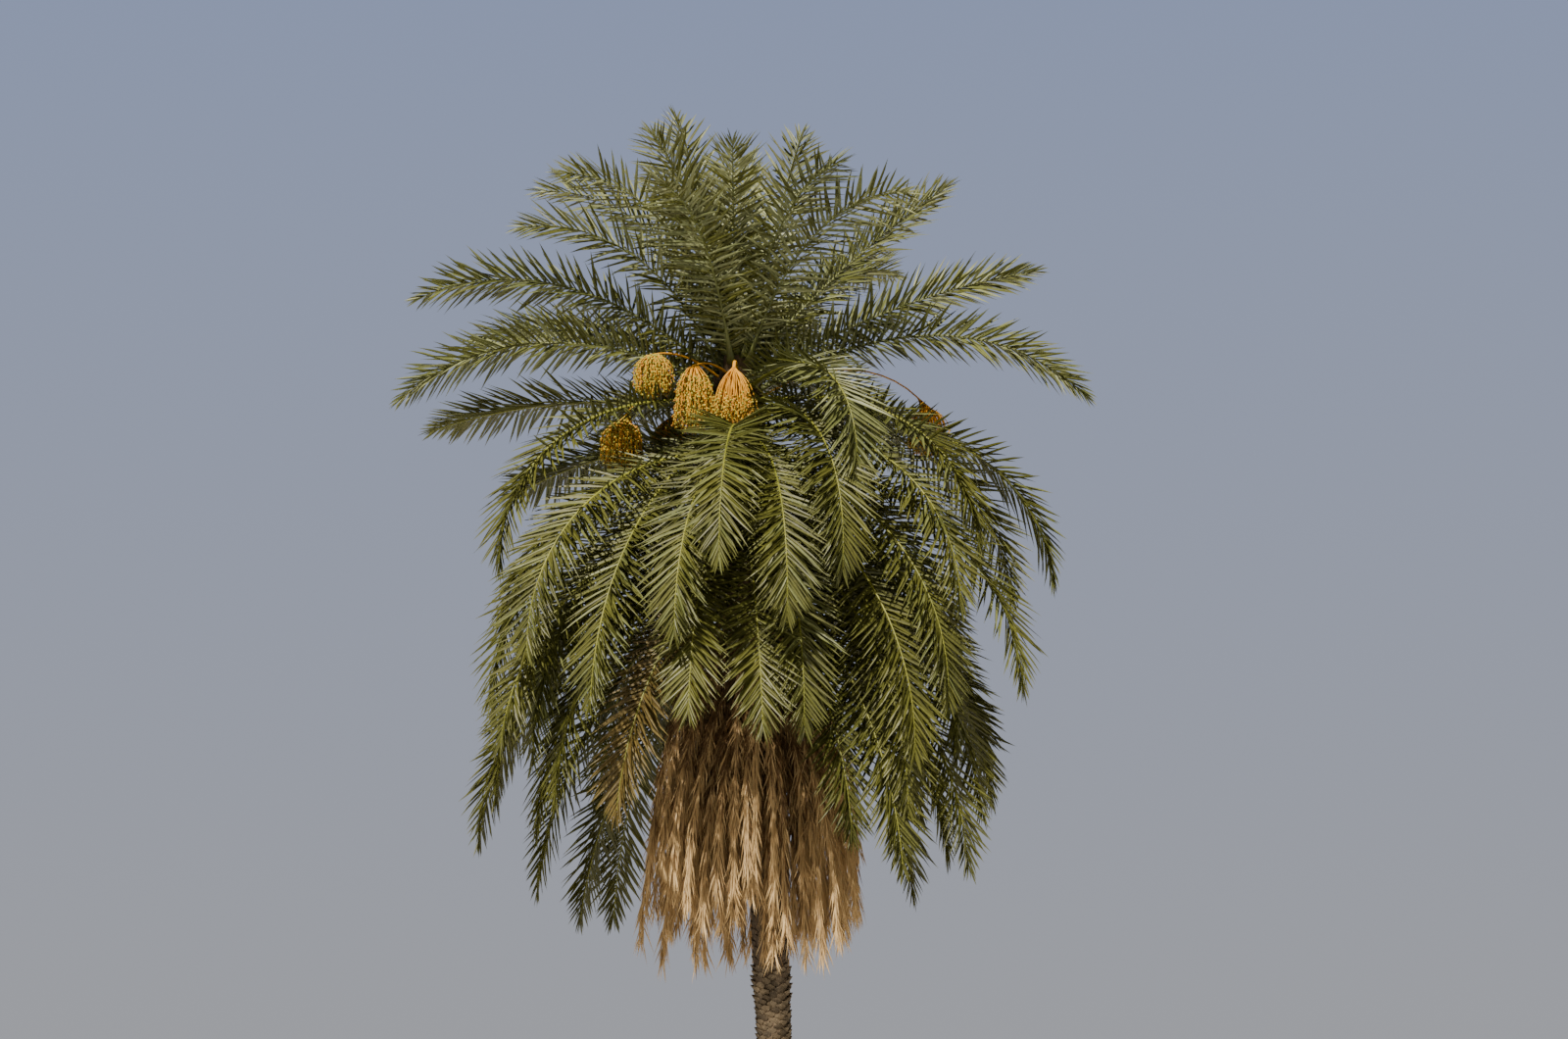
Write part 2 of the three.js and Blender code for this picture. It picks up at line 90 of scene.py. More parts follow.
def smooth_step(low: float, high: float, value: Array | float) -> Array | float:
    """A share from 0 to 1 that eases in and out between two limits."""
    share = np.clip((np.asarray(value, float) - low) / (high - low), 0, 1)
    return share * share * (3 - 2 * share)


def outward_of(azimuth: Array | float) -> Array:
    """The level unit direction of one or more azimuths.

    Args:
        azimuth: degrees from +X towards +Y.

    Returns:
        Unit vectors, in the last axis.
    """
    turn = np.radians(np.asarray(azimuth, float))
    return np.stack([np.cos(turn), np.sin(turn), np.zeros_like(turn)], axis=-1)


def unit(vectors: Array) -> Array:
    """Vectors scaled to a length of one."""
    return vectors / np.linalg.norm(vectors, axis=-1, keepdims=True)


def turned(vectors: Array, axes: Array, angles: Array) -> Array:
    """Vectors turned round unit axes that they stand square to.

    Args:
        vectors: the vectors, in the last axis.
        axes: a unit axis for each.
        angles: a turn in radians for each.

    Returns:
        The turned vectors.
    """
    angles = np.asarray(angles)[..., None]
    return vectors * np.cos(angles) + np.cross(axes, vectors) * np.sin(angles)


@dataclass
class Shapes:
    """Many small closed shapes, gathered as arrays and made into one mesh."""

    corners: list[Array] = field(default_factory=list)
    faces: list[Array] = field(default_factory=list)
    marks: list[Array] = field(default_factory=list)
    count: int = 0

    def add(self, corners: Array, faces: list[Array], marks: Array | None = None) -> None:
        """Adds a shape, or many at once.

        Args:
            corners: places, one row each.
            faces: blocks of three or four corners a row, counted from this shape's first.
            marks: a place on the surface for each corner, for patterns that follow it.
        """
        self.corners.append(corners)
        self.faces.extend(block + self.count for block in faces if len(block))
        if marks is not None:
            self.marks.append(marks)
        self.count += len(corners)

    def add_copies(self, places: Array, faces: list[Array], marks: Array | None = None) -> None:
        """Adds many copies of one form.

        Args:
            places: the corners, by copy, corner and axis.
            faces: the form's own faces, in blocks of three or four corners a row.
            marks: the form's own places on the surface, where it has them.
        """
        count, corners = places.shape[:2]
        first = (np.arange(count) * corners)[:, None, None]
        blocks = [(block + first).reshape(-1, block.shape[1]) for block in faces]
        self.add(places.reshape(-1, 3), blocks, None if marks is None else np.tile(marks, (count, 1)))

    def mesh(self, name: str, smooth: bool) -> bpy.types.Mesh:
        """Makes the mesh.

        Args:
            name: the mesh's name.
            smooth: whether its faces shade smoothly into each other.

        Returns:
            The finished mesh.
        """
        corners = np.concatenate(self.corners).astype(np.float32)
        sizes = np.concatenate([np.full(len(block), block.shape[1]) for block in self.faces])
        loops = np.concatenate([block.ravel() for block in self.faces]).astype(np.int32)
        starts = np.concatenate([[0], np.cumsum(sizes)[:-1]]).astype(np.int32)
        mesh = bpy.data.meshes.new(name)
        mesh.vertices.add(len(corners))
        mesh.vertices.foreach_set("co", corners.ravel())
        mesh.loops.add(len(loops))
        mesh.loops.foreach_set("vertex_index", loops)
        mesh.polygons.add(len(sizes))
        mesh.polygons.foreach_set("loop_start", starts)
        mesh.polygons.foreach_set("use_smooth", np.full(len(sizes), smooth))
        mesh.update(calc_edges=True)
        if self.marks:
            places = np.concatenate(self.marks).astype(np.float32)[loops]
            mesh.uv_layers.new(name="blade").data.foreach_set("uv", places.ravel())
        mesh.validate()
        return mesh


def deselect_all() -> None:
    """Leaves no object selected and no object in edit mode."""
    if bpy.context.object and bpy.context.object.mode != "OBJECT":
        bpy.ops.object.mode_set(mode="OBJECT")
    bpy.ops.object.select_all(action="DESELECT")


def taken(model: bpy.types.Object) -> tuple[Array, Array]:
    """A modelled form as arrays. The model itself is removed.

    Args:
        model: the form's object.

    Returns:
        Its corners and its faces.
    """
    corners = np.array([tuple(spot.co) for spot in model.data.vertices])
    faces = np.array([tuple(face.vertices) for face in model.data.polygons])
    bpy.data.objects.remove(model)
    return corners, faces


def settle(piece: bpy.types.Object, finish: "Finish", nodes: list[str]) -> bpy.types.Object:
    """Gives a piece its finish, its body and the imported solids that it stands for, and reports it.

    Args:
        piece: the finished object, unturned and at the origin.
        finish: the finish of its surface.
        nodes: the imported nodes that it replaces.

    Returns:
        The same piece.
    """
    piece.data.materials.clear()
    piece.data.materials.append(finish.material())
    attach(piece, BODY)
    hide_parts(*nodes)
    triangles = sum(len(face.vertices) - 2 for face in piece.data.polygons)
    log.info("%s: %d triangles", piece.name, triangles)
    return piece


def new_piece(name: str, shapes: Shapes, smooth: bool = False) -> bpy.types.Object:
    """An object of gathered shapes, linked into the scene.

    Args:
        name: the piece's name.
        shapes: its shapes.
        smooth: whether its faces shade smoothly into each other.

    Returns:
        The new object.
    """
    piece = bpy.data.objects.new(name, shapes.mesh(name, smooth))
    bpy.context.scene.collection.objects.link(piece)
    return piece


# Finishes: node groups, and a finish that makes its own material

BROAD_SPAN = (0.36, 0.64)
FLECK_SPAN = (0.52, 0.7)
VEINS = 14.0
KEEL_REACH = 0.1


class Nodes:
    """A node tree under construction, with short ways to add and join its nodes.

    A Mix node's sockets for colours share their names with others, so they are found by number.
    """

    COLOUR_INPUTS = (6, 7)
    COLOUR_OUTPUT = 2

    def __init__(self, tree: bpy.types.NodeTree) -> None:
        """Starts on a tree, emptied."""
        self.tree = tree
        tree.nodes.clear()

    def add(self, kind: str, inputs: dict | None = None, **settings: object) -> bpy.types.Node:
        """Adds a node.

        Args:
            kind: its type, without the leading ShaderNode.
            inputs: values or output sockets for its inputs, by name or number.
            settings: properties of the node itself.

        Returns:
            The new node.
        """
        prefix = "" if kind.startswith("NodeGroup") else "ShaderNode"
        node = self.tree.nodes.new(prefix + kind)
        for name, value in settings.items():
            setattr(node, name, value)
        for key, value in (inputs or {}).items():
            if isinstance(value, Socket):
                self.tree.links.new(value, node.inputs[key])
            else:
                node.inputs[key].default_value = value
        return node

    def value(self, kind: str, inputs: dict | None = None, **settings: object) -> Socket:
        """The first output of a new node, which is added as by add."""
        return self.add(kind, inputs, **settings).outputs[0]

    def ranged(self, value: Socket, old: Span = (0, 1), new: Span = (0, 1)) -> Socket:
        """A value carried over from its old span to a new one."""
        spans = dict(zip(("From Min", "From Max", "To Min", "To Max"), (*old, *new)))
        return self.value("MapRange", {"Value": value, **spans})

    def mixed(self, share: Socket, first: object, second: object) -> Socket:
        """The colour that lies a share of the way from the first to the second."""
        inputs = {"Factor": share, **dict(zip(self.COLOUR_INPUTS, (first, second)))}
        return self.add("Mix", inputs, data_type="RGBA").outputs[self.COLOUR_OUTPUT]


def new_group(name: str, inputs: dict, outputs: dict) -> bpy.types.NodeTree:
    """An empty shader node group with named sockets.

    Args:
        name: the group's name.
        inputs: for each input, its kind of socket and its value.
        outputs: for each output, its kind of socket.

    Returns:
        The group.
    """
    tree = bpy.data.node_groups.new(name, "ShaderNodeTree")
    for label, (kind, value) in inputs.items():
        socket = tree.interface.new_socket(label, in_out="INPUT", socket_type="NodeSocket" + kind)
        socket.default_value = value
    for label, kind in outputs.items():
        tree.interface.new_socket(label, in_out="OUTPUT", socket_type="NodeSocket" + kind)
    return tree


def two_scale_mottle() -> bpy.types.NodeTree:
    """A group that mixes three colours by a broad and a fine noise in the object's own space.

    Returns:
        The group, made once and found again after that.
    """
    name = "two_scale_mottle"
    if name in bpy.data.node_groups:
        return bpy.data.node_groups[name]
    grey = (0.5, 0.5, 0.5, 1.0)
    inputs = {label: ("Color", grey) for label in ("Base", "Shade", "Fleck")}
    usual = {"Broad Scale": 2.0, "Fine Scale": 60.0, "Stretch": 1.0, "Fleck Share": 0.3}
    inputs.update({label: ("Float", value) for label, value in usual.items()})
    tree = new_group(name, inputs, {"Colour": "Color", "Height": "Float"})
    nodes = Nodes(tree)
    given = nodes.add("NodeGroupInput").outputs
    place = nodes.add("TexCoord").outputs["Object"]
    stretch = nodes.value("CombineXYZ", {"X": 1.0, "Y": 1.0, "Z": given["Stretch"]})
    drawn = nodes.value("VectorMath", {0: place, 1: stretch}, operation="MULTIPLY")
    broad = nodes.value("TexNoise", {"Vector": place, "Scale": given["Broad Scale"], "Detail": 3.0})
    grain = {"Vector": drawn, "Scale": given["Fine Scale"], "Detail": 4.0, "Roughness": 0.65}
    fine = nodes.value("TexNoise", grain)
    broad_share = nodes.ranged(broad, BROAD_SPAN)
    fleck_share = nodes.ranged(fine, FLECK_SPAN)
    ground = nodes.mixed(broad_share, given["Base"], given["Shade"])
    flecks = nodes.value("Math", {0: fleck_share, 1: given["Fleck Share"]}, operation="MULTIPLY")
    colour = nodes.mixed(flecks, ground, given["Fleck"])
    nodes.add("NodeGroupOutput", {"Colour": colour, "Height": fine})
    return tree


def blade_veins() -> bpy.types.NodeTree:
    """A group of fine lengthwise veins and a keel line, from a leaflet's own surface map.

    Returns:
        The group, made once and found again after that.
    """
    name = "blade_veins"
    if name in bpy.data.node_groups:
        return bpy.data.node_groups[name]
    tree = new_group(name, {"Veins": ("Float", VEINS)}, {"Height": "Float", "Keel": "Float"})
    nodes = Nodes(tree)
    given = nodes.add("NodeGroupInput").outputs
    place = nodes.value("UVMap", uv_map="blade")
    across = nodes.value("SeparateXYZ", {0: place})
    wave = nodes.value("Math", {0: across, 1: given["Veins"]}, operation="MULTIPLY")
    ridge = nodes.value("Math", {0: wave, 1: 1.0}, operation="PINGPONG")
    off = nodes.value("Math", {0: across, 1: 0.5}, operation="SUBTRACT")
    away = nodes.value("Math", {0: off}, operation="ABSOLUTE")
    keel = nodes.ranged(away, (0.0, KEEL_REACH), (1.0, 0.0))
    nodes.add("NodeGroupOutput", {"Height": ridge, "Keel": keel})
    return tree


@dataclass(frozen=True)
class Finish:
    """One surface finish: three colours mottled at two scales, with roughness and bump to match."""

    name: str
    base: Colour
    shade: Colour
    fleck: Colour
    fleck_share: float = 0.35
    broad_scale: float = 2.0
    fine_scale: float = 70.0
    stretch: float = 1.0
    rough: Span = (0.45, 0.65)
    bump: float = 0.25
    bump_depth: float = 0.004
    veins: bool = False
    keel: Colour = (0.3, 0.3, 0.1)
    keel_share: float = 0.45

    def tinted(self, name: str, base: Colour, shade: Colour, fleck: Colour, **other: float) -> "Finish":
        """A finish like this one, with a name and colours of its own."""
        return replace(self, name=name, base=base, shade=shade, fleck=fleck, **other)

    def material(self) -> bpy.types.Material:
        """Makes the material, once.

        Returns:
            The material, found again by its name after the first call.
        """
        if self.name in bpy.data.materials:
            return bpy.data.materials[self.name]
        material = bpy.data.materials.new(self.name)
        material.use_nodes = True
        nodes = Nodes(material.node_tree)
        values = {
            "Base": (*self.base, 1.0),
            "Shade": (*self.shade, 1.0),
            "Fleck": (*self.fleck, 1.0),
            "Broad Scale": self.broad_scale,
            "Fine Scale": self.fine_scale,
            "Stretch": self.stretch,
            "Fleck Share": self.fleck_share,
        }
        mottle = nodes.add("Group", values, node_tree=two_scale_mottle()).outputs
        colour, height = mottle["Colour"], mottle["Height"]
        if self.veins:
            veins = nodes.add("Group", node_tree=blade_veins()).outputs
            keel = nodes.value("Math", {0: veins["Keel"], 1: self.keel_share}, operation="MULTIPLY")
            colour = nodes.mixed(keel, colour, (*self.keel, 1.0))
            height = nodes.value("Math", {0: height, 1: veins["Height"]}, operation="ADD")
        rough = nodes.ranged(mottle["Height"], new=self.rough)
        normal = nodes.value("Bump", {"Strength": self.bump, "Distance": self.bump_depth, "Height": height})
        shader = nodes.value("BsdfPrincipled", {"Base Color": colour, "Roughness": rough, "Normal": normal})
        nodes.add("OutputMaterial", {"Surface": shader})
        return material


BARK = Finish(
    name="grey_bark",
    base=(0.15, 0.105, 0.066),
    shade=(0.085, 0.058, 0.036),
    fleck=(0.28, 0.215, 0.14),
    fleck_share=0.5,
    broad_scale=1.6,
    fine_scale=42.0,
    stretch=0.4,
    rough=(0.8, 0.98),
    bump=0.8,
    bump_depth=0.012,
)
LEAF_BASE = BARK.tinted(
    "weathered_leaf_base",
    base=(0.175, 0.13, 0.082),
    shade=(0.1, 0.074, 0.047),
    fleck=(0.31, 0.25, 0.17),
    broad_scale=7.0,
    fine_scale=60.0,
    bump_depth=0.008,
)
DARK_BASE = LEAF_BASE.tinted(
    "dark_leaf_base", (0.1, 0.073, 0.046), (0.05, 0.036, 0.023), (0.23, 0.175, 0.115)
)
BOOT = BARK.tinted(
    "fibrous_boot",
    base=(0.075, 0.046, 0.024),
    shade=(0.035, 0.022, 0.012),
    fleck=(0.2, 0.13, 0.07),
    broad_scale=4.0,
    fine_scale=80.0,
    stretch=0.15,
    bump_depth=0.008,
)
# The stubs' dark colour is partly their own and partly painted shade from the skirt above them.
STUB = BOOT.tinted("dark_stub", (0.085, 0.058, 0.036), (0.04, 0.027, 0.018), (0.24, 0.175, 0.11))
YOUNG_LEAF = Finish(
    name="young_silver_green",
    base=(0.28, 0.305, 0.152),
    shade=(0.105, 0.125, 0.052),
    fleck=(0.52, 0.54, 0.32),
    fleck_share=0.3,
    broad_scale=1.2,
    fine_scale=30.0,
    rough=(0.38, 0.58),
    bump=0.2,
    bump_depth=0.002,
    veins=True,
    keel=(0.25, 0.26, 0.075),
)
UPPER_LEAF = YOUNG_LEAF.tinted(
    "upper_grey_green", (0.145, 0.16, 0.05), (0.082, 0.098, 0.027), (0.265, 0.278, 0.11)
)
MIDDLE_LEAF = YOUNG_LEAF.tinted(
    "olive_green", (0.093, 0.098, 0.014), (0.047, 0.053, 0.008), (0.21, 0.205, 0.04)
)
LOWER_LEAF = YOUNG_LEAF.tinted("deep_olive", (0.082, 0.084, 0.01), (0.04, 0.044, 0.006), (0.2, 0.19, 0.032))
DYING_LEAF = YOUNG_LEAF.tinted(
    "dying_yellow_brown", (0.14, 0.094, 0.022), (0.075, 0.05, 0.013), (0.28, 0.2, 0.06)
)
LIVING_RIB = Finish(
    name="yellow_green_rib",
    base=(0.24, 0.245, 0.028),
    shade=(0.15, 0.165, 0.02),
    fleck=(0.4, 0.38, 0.06),
    fine_scale=45.0,
    rough=(0.38, 0.58),
    bump=0.2,
    bump_depth=0.003,
)
YOUNG_RIB = LIVING_RIB.tinted("grey_green_rib", (0.15, 0.17, 0.05), (0.1, 0.12, 0.035), (0.24, 0.25, 0.09))
DEAD_RIB = Finish(
    name="dry_rib",
    base=(0.27, 0.17, 0.08),
    shade=(0.17, 0.105, 0.05),
    fleck=(0.4, 0.28, 0.15),
    fleck_share=0.4,
    broad_scale=2.5,
    fine_scale=60.0,
    stretch=0.3,
    rough=(0.65, 0.9),
    bump=0.4,
)
# The skirt's straw in three tones: the sunny straw is painted sunlight on the fronds' lower parts, the
# shaded dark straw painted shade of the crown on their upper parts, the old brown straw between.
SUNNY_STRAW = Finish(
    name="sunny_straw",
    base=(0.6, 0.42, 0.21),
    shade=(0.46, 0.31, 0.145),
    fleck=(0.7, 0.54, 0.31),
    fleck_share=0.4,
    broad_scale=2.2,
    fine_scale=50.0,
    stretch=0.4,
    rough=(0.5, 0.75),
    bump=0.4,
    bump_depth=0.003,
)
OLD_STRAW = SUNNY_STRAW.tinted(
    "old_brown_straw", (0.53, 0.358, 0.175), (0.34, 0.218, 0.1), (0.68, 0.5, 0.275)
)
DARK_STRAW = SUNNY_STRAW.tinted(
    "shaded_dark_straw", (0.205, 0.113, 0.043), (0.1, 0.054, 0.021), (0.5, 0.33, 0.16)
)
STALK = Finish(
    name="orange_stalk",
    base=(0.8, 0.39, 0.026),
    shade=(0.66, 0.29, 0.015),
    fleck=(0.88, 0.52, 0.06),
    fleck_share=0.3,
    broad_scale=6.0,
    stretch=0.4,
    rough=(0.5, 0.7),
    bump=0.2,
    bump_depth=0.002,
)
OCHRE_DATE = Finish(
    name="ochre_date",
    base=(0.62, 0.43, 0.055),
    shade=(0.42, 0.28, 0.03),
    fleck=(0.78, 0.58, 0.12),
    broad_scale=9.0,
    fine_scale=120.0,
    bump=0.15,
    bump_depth=0.001,
)
YELLOW_DATE = OCHRE_DATE.tinted(
    "olive_yellow_date", (0.4, 0.36, 0.042), (0.22, 0.205, 0.02), (0.62, 0.55, 0.11)
)
RED_DATE = OCHRE_DATE.tinted("russet_date", (0.55, 0.24, 0.03), (0.35, 0.14, 0.02), (0.68, 0.38, 0.08))
FLOOR = Finish(
    name="pale_floor",
    base=(0.62, 0.61, 0.59),
    shade=(0.6, 0.59, 0.57),
    fleck=(0.64, 0.63, 0.61),
    fleck_share=0.2,
    broad_scale=0.4,
    fine_scale=6.0,
    rough=(0.8, 0.9),
    bump=0.05,
    bump_depth=0.002,
)


# The trunk: a core under spirals of old leaf bases


@dataclass(frozen=True)
class TrunkForm:
    """The trunk's leaning, tapering course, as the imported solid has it."""

    height: float = 10.9
    lean: float = 0.54
    lean_power: float = 1.3
    foot_radius: float = 0.205
    head_radius: float = 0.175
    flare: float = 0.15
    flare_height: float = 0.33
    crown_swell: float = 0.045
    crown_from: float = 7.0
    crown_to: float = 8.0
    bud_from: float = 9.85
    bud_tip: float = 0.16

    def axis(self, z: Array | float) -> Array:
        """The middle of the trunk at one or more heights.

        Args:
            z: heights above the ground.

        Returns:
            Places, in the last axis.
        """
        z = np.asarray(z, float)
        return np.stack([-self.lean * (z / self.height) ** self.lean_power, np.zeros_like(z), z], axis=-1)

    def radius(self, z: Array | float) -> Array:
        """The trunk's radius at one or more heights.

        Args:
            z: heights above the ground.

        Returns:
            The radii.
        """
        z = np.asarray(z, float)
        shaft = blend(self.foot_radius, self.head_radius, z / self.height)
        swell = self.crown_swell * smooth_step(self.crown_from, self.crown_to, z)
        bud = np.clip((z - self.bud_from) / (self.height - self.bud_from), 0, 1)
        round_off = np.maximum(self.bud_tip, np.sqrt(1 - bud * bud))
        return (shaft + self.flare * np.exp(-z / self.flare_height) + swell) * round_off


TRUNK_FORM = TrunkForm()


@dataclass(frozen=True)
class ScaleForm:
    """One old leaf base of unit size: a shield that leans out to a thick lip.

    The lips say how far it stands out at its foot, its middle and its top.
    """

    lips: tuple[float, ...] = (0.08, 0.62, 1.0)
    edge_fall: float = 1.5
    inner_layer: float = 0.45
    sunk: float = 0.35
    taper: float = 0.55
    droop: float = 0.55
    low_droop: float = 0.35

    def model(self) -> tuple[Array, Array]:
        """Models the leaf base from a cube that is cut once each way.

        Returns:
            Its corners, with x across, y outward and z up, and its four-cornered faces.
        """
        deselect_all()
        bpy.ops.mesh.primitive_cube_add(size=1.0)
        shield = bpy.context.object
        bpy.ops.object.mode_set(mode="EDIT")
        bpy.ops.mesh.select_all(action="SELECT")
        bpy.ops.mesh.subdivide(number_cuts=1)
        bpy.ops.object.mode_set(mode="OBJECT")
        for spot in shield.data.vertices:
            across, out, up = spot.co
            level, layer = round(2 * up) + 1, round(2 * out) + 1
            depth = self.lips[level] * (1.0 - self.edge_fall * across * across)
            spot.co.x = across * (1.0 - self.taper * max(0.0, -2 * up))
            spot.co.y = (-self.sunk, depth * self.inner_layer, depth)[layer]
            spot.co.z = up - self.droop * abs(across) * (self.low_droop if level < 2 else 1.0)
        return taken(shield)


@dataclass(frozen=True)
class Cover:
    """A stretch of the trunk that is covered by one kind of old leaf base, with their size and step."""

    finishes: dict[str, Finish]
    low: float
    high: float
    step: float
    width: float
    height: float
    depth: float


BARE_SCALES = {"pale_leaf_bases": LEAF_BASE, "dark_leaf_bases": DARK_BASE}
COVERS = (
    Cover(BARE_SCALES, low=0.05, high=4.3, step=0.0047, width=0.088, height=0.056, depth=0.031),
    Cover({"old_stubs": STUB}, low=4.1, high=6.9, step=0.0052, width=0.105, height=0.085, depth=0.02),
    Cover({"crown_boots": BOOT}, low=6.9, high=10.3, step=0.0078, width=0.15, height=0.14, depth=0.055),
)


@dataclass
class Trunk:
    """The trunk's core, and the old leaf bases that cover it in spirals."""

    form: TrunkForm = TRUNK_FORM
    covers: tuple[Cover, ...] = COVERS
    sides: int = 48
    ring_step: float = 0.13
    ring_power: float = 1.2
    sink: float = 0.036
    cuts: int = 1
    relief: float = 0.014
    relief_grain: float = 0.06
    relief_detail: int = 3
    dark_share: float = 0.4
    ragged: Span = (3.7, 4.2)
    ragged_height: float = 0.35
    ragged_depth: float = 0.75
    worn_until: float = 1.2
    worn_depth: float = 0.75
    usual_radius: float = 0.19
    widths: Span = (0.85, 1.15)
    heights: Span = (0.8, 1.15)
    depths: Span = (0.6, 1.25)
    azimuth_stray: float = 2.0
    tilt_stray: float = 0.09

    def core(self) -> bpy.types.Object:
        """Models the core: a disc extruded upwards ring by ring, subdivided and given relief.

        Returns:
            The finished piece.
        """
        deselect_all()
        foot = float(self.form.radius(0.0)) - self.sink
        bpy.ops.mesh.primitive_circle_add(vertices=self.sides, radius=foot, fill_type="NGON")
        piece = bpy.context.object
        piece.name = "trunk_core"
        piece.data.name = "trunk_core"
        bpy.ops.object.mode_set(mode="EDIT")
        bpy.ops.mesh.select_all(action="SELECT")
        shares = np.linspace(0, 1, round(self.form.height / self.ring_step)) ** self.ring_power
        levels = shares * self.form.height
        for low, high in zip(levels[:-1], levels[1:]):
            start, end = self.form.axis(low), self.form.axis(high)
            grow = (float(self.form.radius(high)) - self.sink) / (float(self.form.radius(low)) - self.sink)
            bpy.ops.mesh.extrude_region_move(TRANSFORM_OT_translate={"value": tuple(end - start)})
            bpy.ops.transform.resize(value=(grow, grow, 1.0), center_override=tuple(end))
        bpy.ops.mesh.select_all(action="SELECT")
        bpy.ops.mesh.normals_make_consistent(inside=False)
        bpy.ops.mesh.subdivide(number_cuts=self.cuts)
        bpy.ops.object.mode_set(mode="OBJECT")
        self.roughen(piece)
        bpy.ops.object.shade_smooth()
        return settle(piece, BARK, ["trunk"])

    def roughen(self, piece: bpy.types.Object) -> None:
        """Presses a bark relief into a piece with a displace modifier, and applies it.

        Args:
            piece: the active object, which keeps above the ground.
        """
        grain = bpy.data.textures.new("bark_relief", "CLOUDS")
        grain.noise_scale = self.relief_grain
        grain.noise_depth = self.relief_detail
        press = piece.modifiers.new("relief", "DISPLACE")
        press.texture = grain
        press.texture_coords = "LOCAL"
        press.strength = self.relief
        bpy.ops.object.modifier_apply(modifier=press.name)
        for spot in piece.data.vertices:
            spot.co.z = max(spot.co.z, 0.0)

    def clad(self, cover: Cover, corners: Array, faces: Array) -> None:
        """Covers a stretch of the trunk with copies of the leaf base, in spirals.

        Args:
            cover: the stretch and its leaf bases, with the pale finish first where there are two.
            corners: the leaf base's corners.
            faces: its faces.
        """
        count = int((cover.high - cover.low) / cover.step)
        index = np.arange(count)
        random = np.random.default_rng(count)
        z = cover.low + index * cover.step
        radius = self.form.radius(z)
        azimuth = index * GOLDEN_TURN + random.normal(0, self.azimuth_stray, count)
        outward, across = outward_of(azimuth), outward_of(azimuth - 90)
        ragged = smooth_step(*self.ragged, z)
        worn = blend(self.worn_depth, 1.0, smooth_step(0.0, self.worn_until, z))
        width = cover.width * random.uniform(*self.widths, count) * radius / self.usual_radius
        height = cover.height * random.uniform(*self.heights, count) * (1 + self.ragged_height * ragged)
        depth = cover.depth * random.uniform(*self.depths, count) * (worn + self.ragged_depth * ragged)
        tilt = random.normal(0, self.tilt_stray, count)[:, None]
        x, y, up = (corners[:, axis] * size[:, None] for axis, size in enumerate((width, depth, height)))
        level = x * np.cos(tilt) - up * np.sin(tilt)
        rise = x * np.sin(tilt) + up * np.cos(tilt)
        out = y - level**2 / (2 * radius)[:, None]
        middle = self.form.axis(z) + outward * (radius - self.sink)[:, None]
        places = (
            middle[:, None]
            + across[:, None] * level[..., None]
            + outward[:, None] * out[..., None]
            + UP * rise[..., None]
        )
        kind = np.zeros(count, int)
        if len(cover.finishes) > 1:
            kind = (random.random(count) < self.dark_share).astype(int)
        for number, (name, finish) in enumerate(cover.finishes.items()):
            shapes = Shapes()
            shapes.add_copies(places[kind == number], [faces])
            settle(new_piece(name, shapes), finish, ["trunk"])

    def build(self) -> None:
        """Builds the core, the bare trunk's scales, the dark stubs above them and the crown's boots."""
        self.core()
        corners, faces = ScaleForm().model()
        for cover in self.covers:
            self.clad(cover, corners, faces)


# Fronds: ribs and leaflets, living and dead

SEED_LEVEL = 1000


@dataclass(frozen=True)
class FrondRow:
    """One frond's place and bend: azimuth, level of its foot, rise there, arch to the tip, length."""

    azimuth: float
    foot: float
    rise: float
    arch: float
    length: float

    @property
    def seed(self) -> float:
        """A number of the frond's own, as the source reckons it."""
        return self.azimuth + SEED_LEVEL * self.foot

    @property
    def contrary_seed(self) -> float:
        """A second number of the frond's own."""
        return self.azimuth - SEED_LEVEL * self.foot


@dataclass(frozen=True)
class Growth:
    """How one kind of frond grows: how its rib bends, how stout it is, and its leaflets on each side."""

    bend: float = 1.5
    slim: float = 1.0
    per_side: int = 140
    leaf_width: float = 0.033
    leaves_from: float = 0.04


LIVING = Growth()
RISING = Growth(per_side=84)
DEAD = Growth(bend=0.5, slim=0.7, per_side=104, leaf_width=0.0145, leaves_from=0.1)
FRUITING = Growth(slim=0.62, per_side=0)


@dataclass(frozen=True)
class RibForm:
    """The size of a frond's rib, from its foot in the trunk to its tip."""

    inside: float = 0.08
    foot_width: float = 0.084
    throat_width: float = 0.03
    tip_width: float = 0.008
    foot_depth: float = 0.046
    throat_depth: float = 0.03
    tip_depth: float = 0.009
    petiole: float = 0.16
    sweep: float = 9.0
    roll: float = 16.0
    steps: int = 40
    upright: float = 55.0
    upright_scale: float = 0.8

    def tapered(self, t: Array, foot: float, throat: float, tip: float) -> Array:
        """A size that falls from foot to throat along the leaf stalk, and from there to the tip.

        Args:
            t: shares of the rib's length.
            foot: size at the foot.
            throat: size where the leaflets begin.
            tip: size at the tip.

        Returns:
            The sizes.
        """
        low = blend(foot, throat, t / self.petiole)
        high = blend(throat, tip, (t - self.petiole) / (1 - self.petiole))
        return np.where(t < self.petiole, low, high)


RIB_FORM = RibForm()


@dataclass
class Stations:
    """Places along a rib with their directions, half widths and depths."""

    middle: Array
    ahead: Array
    side: Array
    upper: Array
    half: Array
    deep: Array

    def rings(self, across: Array, above: Array) -> Array:
        """Places round the rib's middle line, by how far across and above it they are."""
        return self.middle[:, None] + self.side[:, None] * across + self.upper[:, None] * above


